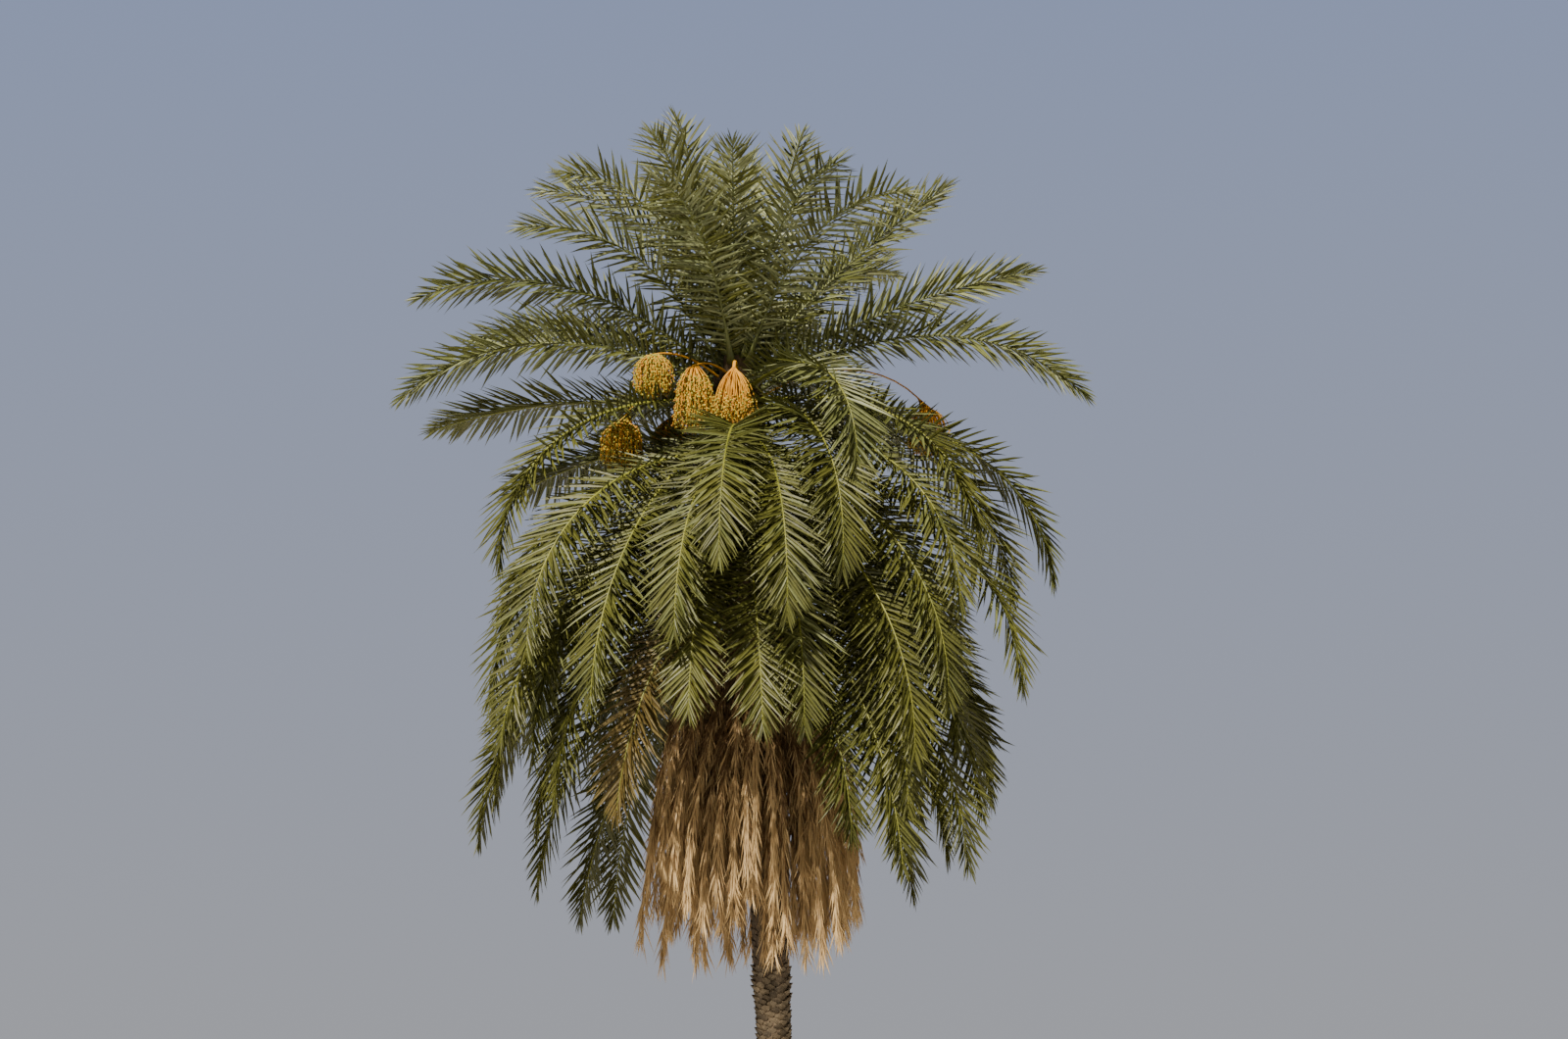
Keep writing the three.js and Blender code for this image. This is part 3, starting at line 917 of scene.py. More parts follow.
class Rib:
    """A frond's rib: its course out of the trunk, bent down by its arch on the way to the tip."""

    def __init__(self, row: FrondRow, growth: Growth) -> None:
        """Lays the rib's course.

        Args:
            row: the frond's place and bend.
            growth: its kind.
        """
        self.row = row
        self.growth = growth
        self.sweep = RIB_FORM.sweep * math.sin(row.seed)
        self.roll = RIB_FORM.roll * math.cos(row.contrary_seed)
        self.scale = (RIB_FORM.upright_scale if row.rise > RIB_FORM.upright else 1.0) * growth.slim
        start = TRUNK_FORM.axis(row.foot) + outward_of(row.azimuth) * TRUNK_FORM.radius(row.foot)
        shares = (np.arange(RIB_FORM.steps) + 0.5) / RIB_FORM.steps
        steps = self.heading(shares) * row.length / RIB_FORM.steps
        self.course = np.concatenate([start[None], start + np.cumsum(steps, axis=0)])

    def heading(self, t: Array) -> Array:
        """The rib's direction at shares of its length.

        Args:
            t: shares of the rib's length.

        Returns:
            Unit vectors.
        """
        slope = np.radians(self.row.rise - self.row.arch * t**self.growth.bend)
        level = outward_of(self.row.azimuth + self.sweep * t)
        return level * np.cos(slope)[:, None] + UP * np.sin(slope)[:, None]

    def point(self, t: Array) -> Array:
        """Places on the rib's middle line at shares of its length."""
        knots = np.linspace(0, 1, RIB_FORM.steps + 1)
        return np.stack([np.interp(t, knots, self.course[:, k]) for k in range(3)], axis=-1)

    def stations(self, t: Array) -> Stations:
        """Places, directions and sizes along the rib.

        Args:
            t: shares of the rib's length.

        Returns:
            The stations.
        """
        ahead = self.heading(t)
        level = outward_of(self.row.azimuth + self.sweep * t + 90)
        side = turned(level, ahead, np.radians(self.roll * t))
        form = RIB_FORM
        half = self.scale * form.tapered(t, form.foot_width, form.throat_width, form.tip_width) / 2
        deep = self.scale * form.tapered(t, form.foot_depth, form.throat_depth, form.tip_depth)
        return Stations(self.point(t), ahead, side, np.cross(ahead, side), half, deep)


def add_tube(shapes: Shapes, rings: Array, tip: Array) -> None:
    """Adds a closed tube: rings of corners that turn anticlockwise as seen from the tip.

    Args:
        shapes: what to add it to.
        rings: the corners, by ring, place in the ring, and axis.
        tip: the point that the last ring closes on.
    """
    many, round_count = rings.shape[:2]
    ring = np.arange(round_count)
    following = (ring + 1) % round_count
    low = np.arange(many - 1)[:, None] * round_count
    high = low + round_count
    quads = np.stack([low + ring, low + following, high + following, high + ring], -1)
    last = (many - 1) * round_count
    end = np.stack([last + ring, last + following, np.full(round_count, many * round_count)], -1)
    fan = ring[1:-1]
    start = np.stack([np.zeros_like(fan), fan + 1, fan], -1)
    corners = np.concatenate([rings.reshape(-1, 3), tip[None]])
    shapes.add(corners, [quads.reshape(-1, 4), end, start])


@dataclass(frozen=True)
class RibSection:
    """A rib's section: flat below, ridged above, with a clasping foot."""

    across: tuple[float, ...] = (1.0, 0.72, 0.0, -0.72, -1.0, 0.0)
    above: tuple[float, ...] = (-0.33, 0.2, 0.66, 0.2, -0.33, -0.42)
    rings: int = 26
    ring_power: float = 1.15
    last_ring: float = 0.985
    clasp: float = 1.5
    clasp_reach: float = 0.035
    root_drop: float = 0.35

    def add_rib(self, shapes: Shapes, rib: Rib) -> None:
        """Adds one rib, from inside the trunk to its tip.

        Args:
            shapes: what to add it to.
            rib: the rib.
        """
        t = np.linspace(0, 1, self.rings) ** self.ring_power * self.last_ring
        at = rib.stations(t)
        clasp = 1 + (self.clasp - 1) * np.exp(-t / self.clasp_reach)
        across = np.array(self.across)[:, None] * (at.half * clasp)[:, None, None]
        above = np.array(self.above)[:, None] * (at.deep * clasp)[:, None, None]
        rings = at.rings(across, above)
        inside = outward_of(rib.row.azimuth) * RIB_FORM.inside
        root = rings[:1] - inside - UP * self.root_drop * RIB_FORM.inside
        add_tube(shapes, np.concatenate([root, rings]), rib.point(np.array([1.0]))[0])


RIB_SECTION = RibSection()


@dataclass(frozen=True)
class BladeForm:
    """A leaflet's outline: stations along it, its width there, and the fold along its keel."""

    along: tuple[float, ...] = (0.0, 0.28, 0.7)
    width: tuple[float, ...] = (0.5, 1.0, 0.72)
    fold: float = 0.55
    thickness: float = 0.0028
    thinnest: float = 0.6
    wave: float = 4.2
    sag_power: float = 1.7

    def faces(self) -> list[Array]:
        """The faces of one leaflet, with four corners at each station and one at the tip.

        Returns:
            A block of four-cornered and one of three-cornered faces.
        """
        last = 4 * (len(self.along) - 1)
        quads = [[3, 2, 1, 0]]
        tips = []
        for k in range(4):
            following = (k + 1) % 4
            tips.append([last + k, last + following, last + 4])
            for low in range(0, last, 4):
                quads.append([low + k, low + following, low + 4 + following, low + 4 + k])
        return [np.array(quads), np.array(tips)]


@dataclass
class Blades:
    """A set of leaflets: where each starts, points and lies, and how it bends."""

    root: Array
    away: Array
    wide: Array
    length: Array
    width: Array
    sag: Array
    twist: Array
    sway: Array

    @property
    def tips(self) -> Array:
        """Where the leaflets would end if they didn't sag."""
        return self.root + self.away * self.length[:, None]

    def only(self, kept: Array) -> "Blades":
        """The leaflets that a mask keeps."""
        return Blades(*(getattr(self, name)[kept] for name in self.__dataclass_fields__))

    def add_to(self, shapes: Shapes, form: BladeForm) -> None:
        """Adds the leaflets as closed folded blades.

        Args:
            shapes: what to add them to.
            form: their outline.
        """
        along = np.array([*form.along, 1.0])
        away = np.repeat(self.away[:, None], len(along), 1)
        flat = np.repeat(self.wide[:, None], len(along), 1)
        wide = turned(flat, away, self.twist[:, None] * along)
        above = np.cross(away, wide)
        wave = (np.sin(along * form.wave) * along)[None, :, None]
        spine = self.root[:, None] + away * (along * self.length[:, None])[..., None]
        spine = spine + wide * (self.sway * self.length)[:, None, None] * wave
        spine[..., 2] -= (self.sag * self.length)[:, None] * along**form.sag_power
        half = (self.width[:, None] / 2 * np.array([*form.width, 0.0]))[..., None]
        skin = np.minimum(half * form.thinnest, form.thickness / 2)
        edge = above * half * form.fold
        left, right = spine + wide * half + edge, spine - wide * half + edge
        rings = np.stack([left, spine + above * skin, right, spine - above * skin], axis=2)
        many = len(form.along)
        body = rings[:, :many].reshape(len(self.root), 4 * many, 3)
        marks = [[u, v] for v in form.along for u in (1.0, 0.5, 0.0, 0.5)] + [[0.5, 1.0]]
        shapes.add_copies(np.concatenate([body, spine[:, many:]], axis=1), form.faces(), np.array(marks))


@dataclass(frozen=True)
class LeafRule:
    """How leaflets stand along a frond, as the source has it."""

    length: float = 0.565
    base: float = 0.42
    swell_from: float = 0.16
    swell_run: float = 0.72
    swell_power: float = 0.8
    angles: Span = (70.0, 30.0)
    angle_power: float = 1.4
    jitter: float = 0.3
    margin: float = 0.3
    limits: Span = (0.001, 0.995)
    full_from: float = 0.1

    def reach(self, u: Array) -> Array:
        """A leaflet's length along the blade: short at the throat, full at a third, lesser at the tip."""
        swell = np.sin(np.pi * np.minimum(1, self.swell_from + u * self.swell_run)) ** self.swell_power
        return self.length * (self.base + (1 - self.base) * swell)

    def angle(self, u: Array) -> Array:
        """The leaflets' angle off the rib in degrees, which closes towards the tip."""
        return blend(*self.angles, u**self.angle_power)

    def roots(self, rib: Rib, random: np.random.Generator) -> tuple[Array, Array, Stations]:
        """Where the leaflets of one side grow.

        Args:
            rib: the frond's rib.
            random: the frond's own chance.

        Returns:
            Shares of the blade's length, how fully grown each place's leaflets are, and the stations.
        """
        count = rib.growth.per_side
        strayed = np.arange(count) + random.uniform(-self.jitter, self.jitter, count)
        spot = (strayed + 0.5) / (count + self.margin)
        t = blend(rib.growth.leaves_from, 1.0, np.clip(spot, *self.limits))
        u = np.clip((t - RIB_FORM.petiole) / (1 - RIB_FORM.petiole), 0, 1)
        grown = smooth_step(rib.growth.leaves_from, self.full_from, t)
        return u, grown, rib.stations(t)

    def away(self, at: Stations, turn: int, open_angle: Array, lift: Array) -> Array:
        """The direction in which leaflets leave the rib.

        Args:
            at: the stations that they grow at.
            turn: 1 for the left side and -1 for the right.
            open_angle: angles off the rib, in radians.
            lift: angles above the frond's own plane, in radians.

        Returns:
            Unit vectors.
        """
        out = turn * at.side * (np.sin(open_angle) * np.cos(lift))[:, None]
        above = at.upper * (np.sin(open_angle) * np.sin(lift))[:, None]
        return at.ahead * np.cos(open_angle)[:, None] + out + above


@dataclass(frozen=True)
class LivingRule(LeafRule):
    """How living leaflets stand, in four ranks that rise and fall in turn."""

    lifts: tuple[float, ...] = (36.0, -26.0, 62.0, -42.0)
    lift_rising: float = 0.72
    lift_falling: float = 0.42
    rising_from: float = 20.0
    stray: float = 4.5
    close_from: float = 0.92
    close: float = 14.0
    tip_from: float = 0.8
    tip_share: float = 0.52
    throat_share: float = 0.35
    thin_share: float = 0.5
    lengths: Span = (0.9, 1.06)
    widths: Span = (0.85, 1.15)
    sag: float = 0.045
    sags: Span = (0.5, 1.4)
    roll_stray: float = 0.24
    twist_stray: float = 0.2
    sway_stray: float = 0.012
    root_out: float = 0.8
    root_sink: float = 0.05

    def grow(self, rib: Rib, turn: int, random: np.random.Generator) -> Blades:
        """The leaflets of one side of a living frond.

        Args:
            rib: the frond's rib.
            turn: 1 for the left side and -1 for the right.
            random: the frond's own chance.

        Returns:
            The leaflets.
        """
        u, grown, at = self.roots(rib, random)
        count = len(u)
        start = int(chance(rib.row.seed + turn) * len(self.lifts))
        share = self.lift_rising if rib.row.rise > self.rising_from else self.lift_falling
        lifts = np.array(self.lifts)[(np.arange(count) + start) % len(self.lifts)] * share
        lift = np.radians(lifts + random.normal(0, self.stray, count))
        spread = self.angle(u) - self.close * smooth_step(self.close_from, 1.0, u)
        away = self.away(at, turn, np.radians(spread + random.normal(0, self.stray, count)), lift)
        flat = unit(at.ahead - away * np.sum(at.ahead * away, -1, keepdims=True))
        tip_share = blend(1.0, self.tip_share, smooth_step(self.tip_from, 1.0, u))
        length = self.reach(u) * tip_share * random.uniform(*self.lengths, count)
        length = length * blend(self.throat_share, 1.0, grown)
        stout = blend(self.thin_share, 1.0, length / self.length)
        edge = at.middle + turn * at.side * at.half[:, None] * self.root_out
        return Blades(
            root=edge - at.upper * at.deep[:, None] * self.root_sink,
            away=away,
            wide=turned(-turn * flat, away, random.normal(0, self.roll_stray, count)),
            length=length,
            width=rib.growth.leaf_width * random.uniform(*self.widths, count) * stout,
            sag=self.sag * random.uniform(*self.sags, count),
            twist=random.normal(0, self.twist_stray, count),
            sway=random.normal(0, self.sway_stray, count),
        )


@dataclass(frozen=True)
class DryRule(LeafRule):
    """How dead leaflets hang close along the rib, crumpled near its foot and splayed at its tip."""

    shrunk: float = 0.76
    closed: float = 0.46
    lift: float = 85.0
    crumpled: Span = (0.25, 0.75)
    splay_from: float = 0.7
    splay: float = 1.5
    open_low: float = 0.2
    open_high: float = 0.95
    crumple_open: float = 0.55
    pull: Span = (0.2, 1.0)
    splay_pull: float = 0.5
    lengths: Span = (0.6, 1.0)
    crumple_short: float = 0.25
    widths: Span = (0.6, 1.2)
    crumple_wide: float = 0.35
    sags: Span = (0.0, 0.1)
    twist_stray: float = 1.0
    crumple_twist: float = 1.2
    sway_stray: float = 0.03
    crumple_sway: float = 0.06
    root_out: float = 0.7

    def grow(self, rib: Rib, turn: int, random: np.random.Generator) -> tuple[Blades, Array]:
        """The dry leaflets of one side of a dead frond.

        Args:
            rib: the frond's rib.
            turn: 1 for the left side and -1 for the right.
            random: the frond's own chance.

        Returns:
            The leaflets, and each one's share of the blade's length.
        """
        u, _, at = self.roots(rib, random)
        count = len(u)
        lift = np.radians(random.uniform(-self.lift, self.lift, count))
        crumple = 1 - smooth_step(*self.crumpled, u)
        end = smooth_step(self.splay_from, 1.0, u)
        widest = self.angle(u) * self.closed * (1 + self.splay * end)
        spread = widest * random.uniform(self.open_low, self.open_high + self.crumple_open * crumple, count)
        away = self.away(at, turn, np.radians(spread), lift)
        away = unit(away - UP * (random.uniform(*self.pull, count) * (1 - self.splay_pull * end))[:, None])
        length = self.reach(u) * self.shrunk * random.uniform(*self.lengths, count)
        width = rib.growth.leaf_width
        blades = Blades(
            root=at.middle + turn * at.side * at.half[:, None] * self.root_out,
            away=away,
            wide=unit(np.cross(away, unit(random.normal(0, 1, (count, 3))))),
            length=length * (1 - self.crumple_short * crumple),
            width=width * random.uniform(*self.widths, count) * (1 + self.crumple_wide * crumple),
            sag=random.uniform(*self.sags, count),
            twist=random.normal(0, self.twist_stray + self.crumple_twist * crumple, count),
            sway=random.normal(0, self.sway_stray + self.crumple_sway * crumple, count),
        )
        return blades, u


LIVING_RULE = LivingRule()
DRY_RULE = DryRule()
LIVING_BLADE = BladeForm()
DEAD_BLADE = BladeForm(along=(0.0, 0.42), width=(0.6, 1.0), fold=0.9, thickness=0.003)
TRUNK_CLEARANCE = 0.01


def clear_of_trunk(blades: Blades) -> Array:
    """Which leaflets' tips stay outside the trunk.

    Args:
        blades: leaflets.

    Returns:
        A mask that keeps those that stand clear.
    """
    tips = blades.tips
    level = tips[:, 2].clip(0, TRUNK_FORM.height)
    away = np.linalg.norm(tips[:, :2] - TRUNK_FORM.axis(level)[:, :2], axis=1)
    return (away > TRUNK_FORM.radius(level) + TRUNK_CLEARANCE) | (tips[:, 2] > TRUNK_FORM.height)


def within_reach(blades: Blades) -> Array:
    """Which leaflets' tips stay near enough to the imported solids.

    Args:
        blades: leaflets.

    Returns:
        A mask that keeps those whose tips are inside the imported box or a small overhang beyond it.
    """
    tips = blades.tips - UP * (blades.sag * blades.length)[:, None]
    low, high = (np.array(list(corner)) for corner in CAD_BOX)
    return np.all((tips > low - OVERHANG) & (tips < high + OVERHANG), axis=1)


class Tone(Enum):
    """The colour that a living frond's leaflets take, from the young heart of the crown down."""

    YOUNG = "young"
    UPPER = "upper"
    MIDDLE = "middle"
    LOWER = "lower"
    DYING = "dying"

    @property
    def lighter(self) -> "Tone":
        """The tone of the next younger fronds."""
        return {Tone.UPPER: Tone.YOUNG, Tone.MIDDLE: Tone.UPPER, Tone.LOWER: Tone.MIDDLE}.get(self, self)

    @property
    def darker(self) -> "Tone":
        """A tone of older fronds."""
        return {Tone.YOUNG: Tone.MIDDLE, Tone.UPPER: Tone.MIDDLE, Tone.MIDDLE: Tone.LOWER}.get(self, self)

    @property
    def near(self) -> "tuple[Tone, Tone, Tone]":
        """The tones that a frond's leaflets take: its own, the lighter one and the darker one."""
        return (self, self.lighter, self.darker)

    @property
    def finish(self) -> Finish:
        """The tone's finish."""
        finishes = (YOUNG_LEAF, UPPER_LEAF, MIDDLE_LEAF, LOWER_LEAF, DYING_LEAF)
        return finishes[list(Tone).index(self)]


SINGLE_ROWS = (
    (52, 10.6, 72, 10, 2.8),
    (84, 10.65, 70, 25, 2.8),
    (125, 10.63, 76, 22, 3.05),
    (122, 10.45, 74, 50, 3.2),
    (166, 10.55, 72, 72, 2.95),
    (-146, 10.57, 72, 84, 2.8),
    (-166, 10.4, 64, 74, 2.7),
    (24, 10.5, 48, 12, 3.05),
    (-5, 10.35, 28, 20, 3.05),
    (-12, 10.18, 27, 74, 3.6),
    (-62, 10.53, 68, 72, 2.65),
    (178, 10.33, 42, 68, 3.4),
    (-176, 10.24, 24, 66, 3.45),
    (152, 10.17, 36, 56, 3.5),
    (160, 10.0, 10, 25, 3.25),
    (-153, 10.05, -2, 90, 3.5),
    (149, 9.7, 2, 24, 2.7),
    (175, 9.64, -12, 80, 3.35),
    (-128, 9.8, -33, 54, 4.0),
    (174, 8.65, -28, 58, 4.15),
    (-126, 8.6, -42, 42, 3.5),
    (-48, 10.48, 62, 76, 2.8),
    (-106, 9.2, -33, 50, 3.4),
    (-88, 9.15, -35, 48, 3.45),
    (-58, 10.18, 14, 118, 2.9),
    (-62, 9.95, -4, 98, 3.35),
    (-72, 9.45, -35, 58, 3.7),
    (-28, 10.06, 0, 88, 3.45),
    (17, 9.98, 2, 90, 3.7),
    (-6, 9.88, 6, 92, 3.85),
    (-40, 9.78, -6, 86, 3.6),
    (-50, 9.25, -28, 65, 4.0),
    (26, 8.9, -22, 55, 3.6),
)
CLUSTER_ROWS = (
    (-108, 10.46, ((-18, 0.16, 74, 52, 2.5), (16, 0.1, 72, 46, 2.35), (0, 0, 62, 64, 2.5))),
    (64, 10.15, ((-14, 0.15, 54, 56, 3.3), (13, 0.09, 48, 66, 3.3), (0, 0, 26, 72, 3.6))),
    (106, 9.95, ((-13, 0.15, 36, 70, 3.5), (13, 0.09, 24, 74, 3.7), (0, 0, 8, 84, 3.8))),
    (-34, 8.4, ((-14, 0.08, -42, 42, 4.0), (12, 0.16, -38, 48, 4.1), (0, 0, -50, 34, 3.9))),
    (152, 8.3, ((-14, 0.08, -48, 38, 4.0), (12, 0.16, -42, 42, 4.0), (0, 0, -52, 30, 3.9))),
    (-160, 8.8, ((-14, 0.08, -28, 60, 3.9), (12, 0.16, -20, 64, 3.9), (0, 0, -40, 46, 3.9))),
    (47, 9.0, ((-14, 0.08, -14, 70, 3.9), (12, 0.16, -8, 76, 3.9), (0, 0, -30, 56, 4.0))),
    (92, 8.7, ((-14, 0.08, -24, 62, 4.0), (12, 0.16, -16, 66, 4.0), (0, 0, -40, 46, 4.0))),
    (125, 9.15, ((-14, 0.08, -14, 70, 3.9), (12, 0.16, -8, 76, 3.9), (0, 0, -30, 56, 4.0))),
    (-26, 9.42, ((12, 0.13, -14, 74, 4.0), (-14, 0.06, -20, 74, 3.9), (0, 0, -32, 62, 4.0))),
    (-150, 9.38, ((-14, 0.09, -20, 74, 3.9), (13, 0.15, -10, 82, 3.8), (0, 0, -32, 60, 4.0))),
    (-92, 9.56, ((-12, 0.1, -20, 72, 3.3), (13, 0.06, -8, 92, 3.4), (0, 0, 8, 102, 3.3))),
    (4, 8.65, ((-14, 0.08, -32, 54, 3.8), (12, 0.16, -26, 60, 3.8), (0, 0, -44, 42, 3.8))),
)
# Fronds beyond the usual three, by the number of their group
MORE_ROWS = {
    4: ((-24, 0.04, -46, 38, 3.5), (-8, 0.5, -36, 54, 3.9)),
    6: ((17, 0.1, -36, 52, 3.8),),
    7: ((0, 0.42, 2, 84, 3.7),),
    8: ((-2, 0.33, 2, 80, 3.6),),
}


@dataclass(frozen=True)
class Frond:
    """A living frond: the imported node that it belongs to, its row and its tone."""

    node: str
    row: FrondRow
    tone: Tone


@dataclass
class Crown:
    """The living fronds: ribs with knobs and spines, and leaflets by tone."""

    young_rise: float = 55.0
    upper_foot: float = 10.1
    middle_foot: float = 9.3
    dying: tuple[str, ...] = ("frond_21",)
    lighter_share: float = 0.2
    darker_share: float = 0.34
    # Young fronds give a larger share of leaflets the darker tone: painted shade in the crown's heart.
    heart_painted_shade: float = 0.12
    first_seed: int = 1000
    knob: float = 0.009
    knob_every: int = 3
    spines: int = 7
    spine_from: float = 0.02
    spine_past_leaves: float = 0.03
    spine_leans: Span = (45, 75)
    spine_lifts: Span = (5, 50)
    spine_growth: Span = (0.6, 1.5)
    spine_lengths: Span = (0.7, 1.2)
    spine_root: float = 0.85
    spine_length: float = 0.13
    spine_width: float = 0.008

    def tone_of(self, node: str, row: FrondRow) -> Tone:
        """The tone of one frond, from its age in the crown.

        Args:
            node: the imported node's name.
            row: the frond's row.

        Returns:
            Its tone.
        """
        if node in self.dying:
            return Tone.DYING
        if row.rise > self.young_rise:
            return Tone.YOUNG
        if row.foot > self.upper_foot:
            return Tone.UPPER
        return Tone.MIDDLE if row.foot > self.middle_foot else Tone.LOWER

    def fronds(self) -> list[Frond]:
        """Lists every living frond.

        Returns:
            The fronds, single ones first.
        """
        listed = [("frond_%02d" % (i + 1), FrondRow(*row)) for i, row in enumerate(SINGLE_ROWS)]
        for number, (azimuth, low, rows) in enumerate(CLUSTER_ROWS, start=1):
            for turn, step, rise, arch, length in rows + MORE_ROWS.get(number, ()):
                row = FrondRow(azimuth + turn, low + step, rise, arch, length)
                listed.append(("frond_group_%d" % number, row))
        return [Frond(node, row, self.tone_of(node, row)) for node, row in listed]

    def add_knobs(self, shapes: Shapes, roots: Array) -> None:
        """Adds the small swollen joints where leaflets meet the rib.

        Args:
            shapes: what to add them to.
            roots: the leaflets' roots.
        """
        form = np.array([[1, 0, 0], [0, 1, 0], [-1, 0, 0], [0, -1, 0], [0, 0, 1], [0, 0, -1]]) * self.knob
        faces = [[0, 1, 4], [1, 2, 4], [2, 3, 4], [3, 0, 4], [1, 0, 5], [2, 1, 5], [3, 2, 5], [0, 3, 5]]
        shapes.add_copies(roots[:, None] + form, [np.array(faces)])

    def add_spines(self, shapes: Shapes, rib: Rib, random: np.random.Generator) -> None:
        """Adds the stiff spines along both edges of a leaf stalk.

        Args:
            shapes: what to add them to.
            rib: the frond's rib.
            random: the frond's own chance.
        """
        count = self.spines
        for turn in (-1, 1):
            t = np.linspace(self.spine_from, LIVING.leaves_from + self.spine_past_leaves, count)
            at = rib.stations(t)
            lean = np.radians(random.uniform(*self.spine_leans, count))
            lift = np.radians(random.uniform(*self.spine_lifts, count))
            away = LIVING_RULE.away(at, turn, lean, lift)
            grow = np.linspace(*self.spine_growth, count) * random.uniform(*self.spine_lengths, count)
            root = at.middle + turn * at.side * at.half[:, None] * self.spine_root
            tips = root + away * (self.spine_length * grow)[:, None]
            side = unit(np.cross(away, at.upper))
            thick = self.spine_width * np.cross(away, side)
            side = self.spine_width * side
            rings = np.stack([root + side, root + thick, root - side, root - thick], axis=1)
            for ring, tip in zip(rings, tips):
                add_tube(shapes, ring[None], tip)

    def add_leaves(self, leaves: dict[Tone, Shapes], frond: Frond, blades: Blades, lot: Array) -> None:
        """Adds a frond's leaflets, most in its own tone and some in the next lighter or darker one.

        Args:
            leaves: the shapes of each tone.
            frond: the frond.
            blades: its leaflets.
            lot: a random number between 0 and 1 for each leaflet.
        """
        # More dark leaflets on young fronds paint shade in the heart.
        dark = self.darker_share + (self.heart_painted_shade if frond.tone is Tone.YOUNG else 0.0)
        kind = (lot < self.lighter_share).astype(int) - (lot > 1 - dark)
        for number, tone in zip((0, 1, -1), frond.tone.near):
            blades.only(kind == number).add_to(leaves[tone], LIVING_BLADE)

    def build(self) -> None:
        """Builds the leaflets of each tone, and all the ribs."""
        fronds = self.fronds()
        young_ribs, old_ribs = Shapes(), Shapes()
        leaves = {tone: Shapes() for tone in Tone}
        for index, frond in enumerate(fronds):
            random = np.random.default_rng(self.first_seed + index)
            rib = Rib(frond.row, RISING if frond.tone is Tone.YOUNG else LIVING)
            fresh = frond.tone in (Tone.YOUNG, Tone.UPPER) and frond.row.rise > LIVING_RULE.rising_from
            ribs = young_ribs if fresh else old_ribs
            RIB_SECTION.add_rib(ribs, rib)
            self.add_spines(ribs, rib, random)
            for turn in (-1, 1):
                blades = LIVING_RULE.grow(rib, turn, random)
                blades = blades.only(clear_of_trunk(blades) & within_reach(blades))
                self.add_leaves(leaves, frond, blades, random.random(len(blades.root)))
                self.add_knobs(ribs, blades.root[:: self.knob_every])
        for tone, shapes in leaves.items():
            nodes = sorted({frond.node for frond in fronds if tone in frond.tone.near})
            settle(new_piece("leaflets_" + tone.value, shapes), tone.finish, nodes)
        nodes = sorted({frond.node for frond in fronds})
        settle(new_piece("young_frond_ribs", young_ribs, True), YOUNG_RIB, nodes)
        settle(new_piece("old_frond_ribs", old_ribs, True), LIVING_RIB, nodes)


# The skirt of dead fronds


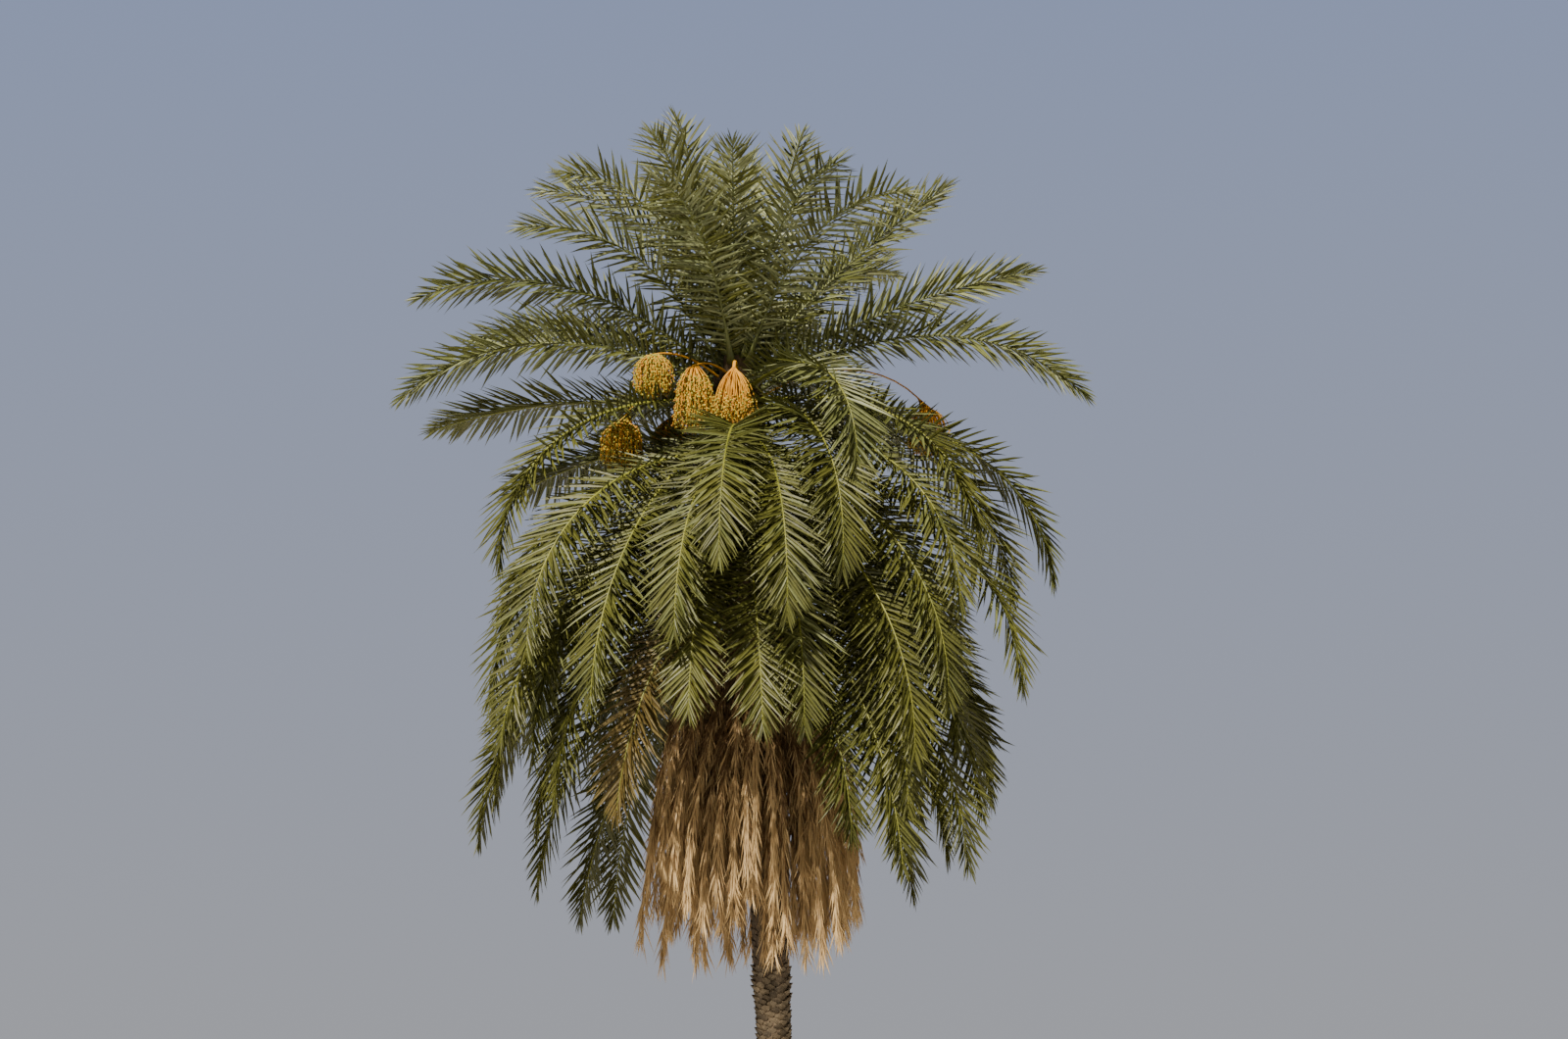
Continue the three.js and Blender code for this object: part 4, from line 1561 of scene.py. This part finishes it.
@dataclass
class Skirt:
    """The dead fronds that hang round the trunk under the living crown.

    Each packed dead frond has two companions: one a little steeper than itself, and one that hangs close
    to the trunk.
    """

    sectors: int = 6
    per_sector: int = 6
    in_tassel: int = 3
    free: float = 15.0
    low: float = 7.25
    high: float = 8.05
    rise: float = -28.0
    rise_spread: float = 16.0
    arch: float = 60.0
    arch_spread: float = 14.0
    length: float = 2.5
    spread: float = 0.45
    between_turn: float = 3.4
    between_drop: float = 0.1
    between_steeper: float = 14.0
    inner_turn: float = 5.6
    inner_drop: float = 0.2
    inner_rise: float = -60.0
    inner_rise_spread: float = 8.0
    inner_arch: float = 27.0
    inner_length: float = 0.93
    # Dry leaflets near a frond's foot take the dark straw, painted shade of the crown; past straw_from they
    # take the sunny straw, painted sunlight.
    brown_until: float = 0.26
    straw_from: float = 0.38
    # Each leaflet's tone strays at random; in the shaded upper part this also paints flecks of sunlight
    # through the crown.
    stray: float = 0.33
    bleach: float = 0.5
    # Painted shade on the companions that hang close to the trunk.
    inner_painted_shade: float = 0.2
    lot_step: int = 11
    first_seed: int = 5000

    def rows(self) -> list[FrondRow]:
        """Lists the dead fronds, each packed one before its companions.

        The companions of neighbours lean towards each other in pairs, so that they hang in tassels.

        Returns:
            The fronds' rows.
        """
        found = []
        wide = 360 / self.sectors
        for i in range(self.sectors):
            for k in range(self.per_sector):
                turn = ((k + 0.5) / self.per_sector - 0.5) * (wide - self.free)
                azimuth = FRONT + wide * i + turn
                foot = self.low + ((k * GOLDEN_SHARE) % 1) * (self.high - self.low)
                lot = chance(i * self.lot_step + k)
                rise, arch = self.rise - self.rise_spread * lot, self.arch - self.arch_spread * lot
                length = self.length + self.spread * chance(k + i)
                toward = 1 if k % 2 == 0 else -1
                between = (azimuth + toward * self.between_turn, foot - self.between_drop)
                steeper = (rise - self.between_steeper, arch - self.between_steeper, length)
                close = (azimuth + toward * self.inner_turn, foot - self.inner_drop)
                inner = (self.inner_rise - self.inner_rise_spread * lot, self.inner_arch)
                found.append(FrondRow(azimuth, foot, rise, arch, length))
                found.append(FrondRow(*between, *steeper))
                found.append(FrondRow(*close, *inner, length * self.inner_length))
        return found

    def tones(self, u: Array, bleach_and_shade: float, random: np.random.Generator) -> Array:
        """Each dry leaflet's tone: painted shade in the frond's upper part, painted sunlight towards its
        tip.

        Args:
            u: shares of the blade's length.
            bleach_and_shade: how much lighter the whole frond is than most, with painted shade close to the
                trunk.
            random: the frond's own chance.

        Returns:
            A tone's number for each leaflet, in the order of the finishes.
        """
        lot = u + random.normal(0, self.stray, len(u)) + bleach_and_shade
        return (lot > self.brown_until).astype(int) + (lot > self.straw_from)

    def build(self) -> None:
        """Builds the straw in three tones, from painted shade to painted sunlight, and the dry ribs."""
        ribs = Shapes()
        straws = {finish: Shapes() for finish in (DARK_STRAW, OLD_STRAW, SUNNY_STRAW)}
        nodes = ["dead_fronds_%d" % (i + 1) for i in range(self.sectors)]
        for index, row in enumerate(self.rows()):
            random = np.random.default_rng(self.first_seed + index)
            rib = Rib(row, DEAD)
            RIB_SECTION.add_rib(ribs, rib)
            # A random bleach for each tassel, and painted shade on the companion that hangs close to the
            # trunk.
            bleach_and_shade = self.bleach * (index // self.in_tassel * GOLDEN_SHARE % 1 - 0.5)
            if index % self.in_tassel == self.in_tassel - 1:
                bleach_and_shade -= self.inner_painted_shade
            for turn in (-1, 1):
                blades, u = DRY_RULE.grow(rib, turn, random)
                tones = self.tones(u, bleach_and_shade, random)
                clear = clear_of_trunk(blades)
                for tone, shapes in enumerate(straws.values()):
                    blades.only(clear & (tones == tone)).add_to(shapes, DEAD_BLADE)
        for finish, shapes in straws.items():
            settle(new_piece(finish.name, shapes), finish, nodes)
        settle(new_piece("dry_ribs", ribs, True), DEAD_RIB, nodes)


# The date bunches


@dataclass(frozen=True)
class Bunch:
    """One date bunch: its stalk's course, its size, and how its strands stand and bear.

    The stalk has azimuth, foot, rise, length and arch. A bunch is a broom where dome is 0 and a full dome
    where it is 1, bare is the share of each strand without dates, and green the share of olive ones.
    """

    azimuth: float
    foot: float
    rise: float
    length: float
    width: float
    drop: float
    bare: float
    dome: float
    green: float
    arch: float = 80.0
    strands: int = 90


BUNCHES = (
    Bunch(-93, 10.19, 54, 0.64, 0.5, 0.6, 0.66, 0.4, 0.35, 122.0),
    Bunch(-121, 10.33, 14, 0.6, 0.45, 0.72, 0.3, 0.7, 0.75, 40.0),
    Bunch(-156, 10.3, 34, 0.8, 0.42, 0.48, 0.1, 0.9, 0.9, 52.0),
    Bunch(-173, 10.04, 24, 1.14, 0.44, 0.54, 0.1, 1.0, 0.95, 92.0, 110),
    Bunch(4, 10.12, 31, 1.93, 0.46, 0.5, 0.7, 0.8, 0.2, 84.0),
    Bunch(78, 9.85, 24, 0.9, 0.42, 0.56, 0.4, 0.4, 0.4),
    Bunch(131, 9.88, 42, 0.95, 0.42, 0.56, 0.3, 0.7, 0.5),
)


@dataclass(frozen=True)
class StalkForm:
    """A bunch's flat stalk, thickest at its foot."""

    width: float = 0.022
    depth: float = 0.01
    rings: int = 14
    sides: int = 8
    slim: float = 0.8
    foot: float = 0.3
    foot_reach: float = 0.1
    tip: float = 0.02

    def add_to(self, shapes: Shapes, rib: Rib) -> None:
        """Adds a stalk.

        Args:
            shapes: what to add it to.
            rib: the stalk's course.
        """
        t = np.linspace(0, 1, self.rings)
        at = rib.stations(t)
        turn = np.linspace(0, 2 * np.pi, self.sides, endpoint=False)[:, None]
        swell = (self.slim + self.foot * np.exp(-t / self.foot_reach))[:, None, None]
        rings = at.rings(self.width * np.cos(turn) * swell, self.depth * np.sin(turn) * swell)
        root = rings[:1] - outward_of(rib.row.azimuth) * RIB_FORM.inside
        add_tube(shapes, np.concatenate([root, rings]), at.middle[-1] + at.ahead[-1] * self.tip)


@dataclass(frozen=True)
class StrandForm:
    """A bunch's strands: thin tubes that leave the stalk's end, spread out and hang."""

    width: float = 0.0058
    tip_share: float = 0.55
    tip: float = 0.006
    rings: int = 9
    turns: tuple[float, ...] = (0.0, 2.094, 4.189)
    aside: tuple[float, ...] = (0.31, 0.93, 0.2)
    azimuth_stray: float = 5.0
    root_span: float = 0.1
    broom_power: float = 0.9
    dome_end: float = 0.5
    dome_power: float = 0.8
    spreads: Span = (0.92, 1.05)
    drops: Span = (0.82, 1.0)
    edge_lift: float = 0.14
    wave: float = 0.006
    wave_turn: float = 11.0
    shoulder: float = 0.02
    drop_power: float = 1.08

    def course(self, bunch: Bunch, rib: Rib, index: int, random: np.random.Generator) -> Array:
        """The course of one strand, from the stalk's end out and down.

        Args:
            bunch: the bunch.
            rib: its stalk.
            index: the strand's number.
            random: the bunch's own chance.

        Returns:
            Places along it.
        """
        share = math.sqrt((index + 0.5) / bunch.strands)
        azimuth = index * GOLDEN_TURN + random.normal(0, self.azimuth_stray)
        start = rib.point(np.array([1 - self.root_span * random.random()]))[0]
        end = rib.point(np.array([1.0]))[0]
        s = np.linspace(0, 1, self.rings)
        dome = np.sin(np.pi / 2 * np.minimum(1, s / self.dome_end)) ** self.dome_power
        bulge = blend(s**self.broom_power, dome, bunch.dome)
        out = bunch.width / 2 * share * bulge * random.uniform(*self.spreads)
        drop = bunch.drop * random.uniform(*self.drops) * (1 - self.edge_lift * share * share)
        wave = self.wave * np.sin(s * self.wave_turn + index)
        course = end + outward_of(azimuth) * out[:, None] + outward_of(azimuth + 90) * wave[:, None]
        course[:, 2] = end[2] + self.shoulder * (1 - s) - drop * s**self.drop_power
        course[0] = start
        return course

    def add_to(self, shapes: Shapes, course: Array) -> None:
        """Adds one strand as a thin three-sided tube.

        Args:
            shapes: what to add it to.
            course: places along it.
        """
        ahead = unit(np.gradient(course, axis=0))
        side = unit(np.cross(ahead, np.array(self.aside)))
        above = np.cross(ahead, side)
        turn = np.array(self.turns)[:, None]
        thick = self.width * np.linspace(1.0, self.tip_share, len(course))[:, None, None]
        rings = course[:, None] + thick * (side[:, None] * np.cos(turn) + above[:, None] * np.sin(turn))
        add_tube(shapes, rings, course[-1] + ahead[-1] * self.tip)


@dataclass(frozen=True)
class DateForm:
    """A date, and how dates sit along a strand."""

    length: float = 0.031
    width: float = 0.021
    gap: float = 0.033
    offset: float = 0.013
    firsts: Span = (0.85, 1.15)
    overrun: float = 0.004
    jitter: float = 0.006
    lean: float = 0.8
    stray: float = 0.25
    sizes: Span = (0.82, 1.12)
    aside: tuple[float, ...] = (0.37, 0.11, 0.92)

    def model(self) -> tuple[Array, Array]:
        """Models one date: a small sphere drawn out lengthwise.

        Returns:
            Its corners, with z along it, and its faces.
        """
        deselect_all()
        bpy.ops.mesh.primitive_ico_sphere_add(subdivisions=1, radius=0.5)
        date = bpy.context.object
        bpy.ops.object.mode_set(mode="EDIT")
        bpy.ops.mesh.select_all(action="SELECT")
        bpy.ops.transform.resize(value=(self.width, self.width, self.length))
        bpy.ops.object.mode_set(mode="OBJECT")
        return taken(date)

    def spots(self, course: Array, bare: float, random: np.random.Generator) -> tuple[Array, Array]:
        """Where dates sit on a strand, and the way that they hang.

        Args:
            course: places along the strand.
            bare: the share of the strand from its top that has none.
            random: the bunch's own chance.

        Returns:
            Places and unit axes, one row for each date.
        """
        run = np.concatenate([[0], np.cumsum(np.linalg.norm(np.diff(course, axis=0), axis=1))])
        first = run[-1] * bare * random.uniform(*self.firsts)
        along = np.arange(first, run[-1] + self.overrun, self.gap)
        along = along + random.uniform(-self.jitter, self.jitter, len(along))
        places = np.stack([np.interp(along, run, course[:, k]) for k in range(3)], axis=-1)
        side = outward_of(random.uniform(0, 360) + np.arange(len(along)) * GOLDEN_TURN)
        axes = unit(side * self.lean - UP + random.normal(0, self.stray, (len(along), 3)))
        return places + side * self.offset, axes

    def bodies(self, corners: Array, places: Array, axes: Array, random: np.random.Generator) -> Array:
        """Copies of the model date, set at their places.

        Args:
            corners: the model date's corners.
            places: the dates' middles.
            axes: the way that each points.
            random: the bunch's own chance.

        Returns:
            The copies' corners, by date, corner and axis.
        """
        side = unit(np.cross(axes, np.array(self.aside)))
        above = np.cross(axes, side)
        size = random.uniform(*self.sizes, len(places))[:, None, None]
        x, y, z = (corners[None, :, axis, None] for axis in range(3))
        return places[:, None] + size * (side[:, None] * x + above[:, None] * y + axes[:, None] * z)


@dataclass
class DateBunches:
    """Flat orange stalks that hang bells of strands set with dates."""

    bunches: tuple[Bunch, ...] = BUNCHES
    stalk: StalkForm = StalkForm()
    strand: StrandForm = StrandForm()
    date: DateForm = DateForm()
    russet_from: float = 0.9
    first_seed: int = 9000

    def build(self) -> None:
        """Builds the stalks with their strands, and the dates by colour."""
        stems = Shapes()
        dates = {finish: Shapes() for finish in (OCHRE_DATE, YELLOW_DATE, RED_DATE)}
        corners, faces = self.date.model()
        for number, bunch in enumerate(self.bunches):
            random = np.random.default_rng(self.first_seed + number)
            row = FrondRow(bunch.azimuth, bunch.foot, bunch.rise, bunch.arch, bunch.length)
            rib = Rib(row, FRUITING)
            self.stalk.add_to(stems, rib)
            for index in range(bunch.strands):
                course = self.strand.course(bunch, rib, index, random)
                self.strand.add_to(stems, course)
                lot = random.random()
                ripe = OCHRE_DATE if lot < self.russet_from else RED_DATE
                places, axes = self.date.spots(course, bunch.bare, random)
                bodies = self.date.bodies(corners, places, axes, random)
                dates[YELLOW_DATE if lot < bunch.green else ripe].add_copies(bodies, [faces])
        nodes = ["date_bunch_%d" % (i + 1) for i in range(len(self.bunches))]
        settle(new_piece("date_stalks", stems, True), STALK, nodes)
        for finish, shapes in dates.items():
            settle(new_piece(finish.name + "s", shapes, True), finish, nodes)


# Camera, light and floor


@dataclass
class Studio:
    """The camera at the photograph's angle, a soft warm key light, a pale backdrop and a pale floor."""

    camera_place: tuple[float, float, float] = (-0.03, -39.39, 1.9)
    camera_pitch: float = 10.0
    camera_far: float = 400.0
    lens: float = 90.0
    sensor: float = 36.0
    sun_place: tuple[float, float, float] = (0.0, 0.0, 20.0)
    sun_azimuth: float = -102.0
    sun_height: float = 50.0
    sun_power: float = 7.6
    sun_softness: float = 1.4
    sun_colour: Colour = (1.0, 0.92, 0.76)
    sky_low: Colour = (0.388, 0.39, 0.4)
    sky_high: Colour = (0.258, 0.318, 0.5)
    sky_reach: float = 0.32
    fill: Colour = (0.046, 0.048, 0.044)
    floor_radius: float = 150.0
    floor_sides: int = 96

    def place_camera(self) -> None:
        """Adds the camera and makes it the scene's."""
        pitch = math.radians(90 + self.camera_pitch)
        bpy.ops.object.camera_add(location=self.camera_place, rotation=(pitch, 0.0, 0.0))
        camera = bpy.context.object
        camera.data.sensor_width = self.sensor
        camera.data.lens = self.lens
        camera.data.clip_end = self.camera_far
        bpy.context.scene.camera = camera

    def light(self) -> None:
        """Adds the key light and the backdrop's own soft light."""
        deselect_all()
        bpy.ops.object.light_add(type="SUN", location=self.sun_place)
        sun = bpy.context.object
        sun.data.energy = self.sun_power
        sun.data.angle = math.radians(self.sun_softness)
        sun.data.color = self.sun_colour
        sun.rotation_euler = (math.radians(90 - self.sun_height), 0.0, math.radians(self.sun_azimuth + 90))
        world = bpy.context.scene.world or bpy.data.worlds.new("backdrop")
        bpy.context.scene.world = world
        world.use_nodes = True
        nodes = Nodes(world.node_tree)
        place = nodes.add("TexCoord").outputs["Generated"]
        height = nodes.add("SeparateXYZ", {0: place}).outputs["Z"]
        share = nodes.ranged(height, (0.0, self.sky_reach))
        colour = nodes.mixed(share, (*self.sky_low, 1.0), (*self.sky_high, 1.0))
        seen = nodes.value("LightPath")
        shown = nodes.mixed(seen, (*self.fill, 1.0), colour)
        back = nodes.value("Background", {"Color": shown, "Strength": 1.0})
        nodes.add("OutputWorld", {"Surface": back})

    def lay_floor(self) -> None:
        """Adds the floor, which isn't part of the tree."""
        deselect_all()
        bpy.ops.mesh.primitive_circle_add(
            vertices=self.floor_sides, radius=self.floor_radius, fill_type="NGON"
        )
        floor = bpy.context.object
        floor.name = "studio_floor"
        floor.data.materials.append(FLOOR.material())


def main() -> None:
    """Builds the camera, the palm's sub-assemblies and the studio, in that order."""
    logging.basicConfig(level=logging.INFO, format="%(message)s")
    studio = Studio()
    studio.place_camera()
    Trunk().build()
    Crown().build()
    Skirt().build()
    DateBunches().build()
    studio.light()
    studio.lay_floor()


if __name__ == "__main__":
    main()
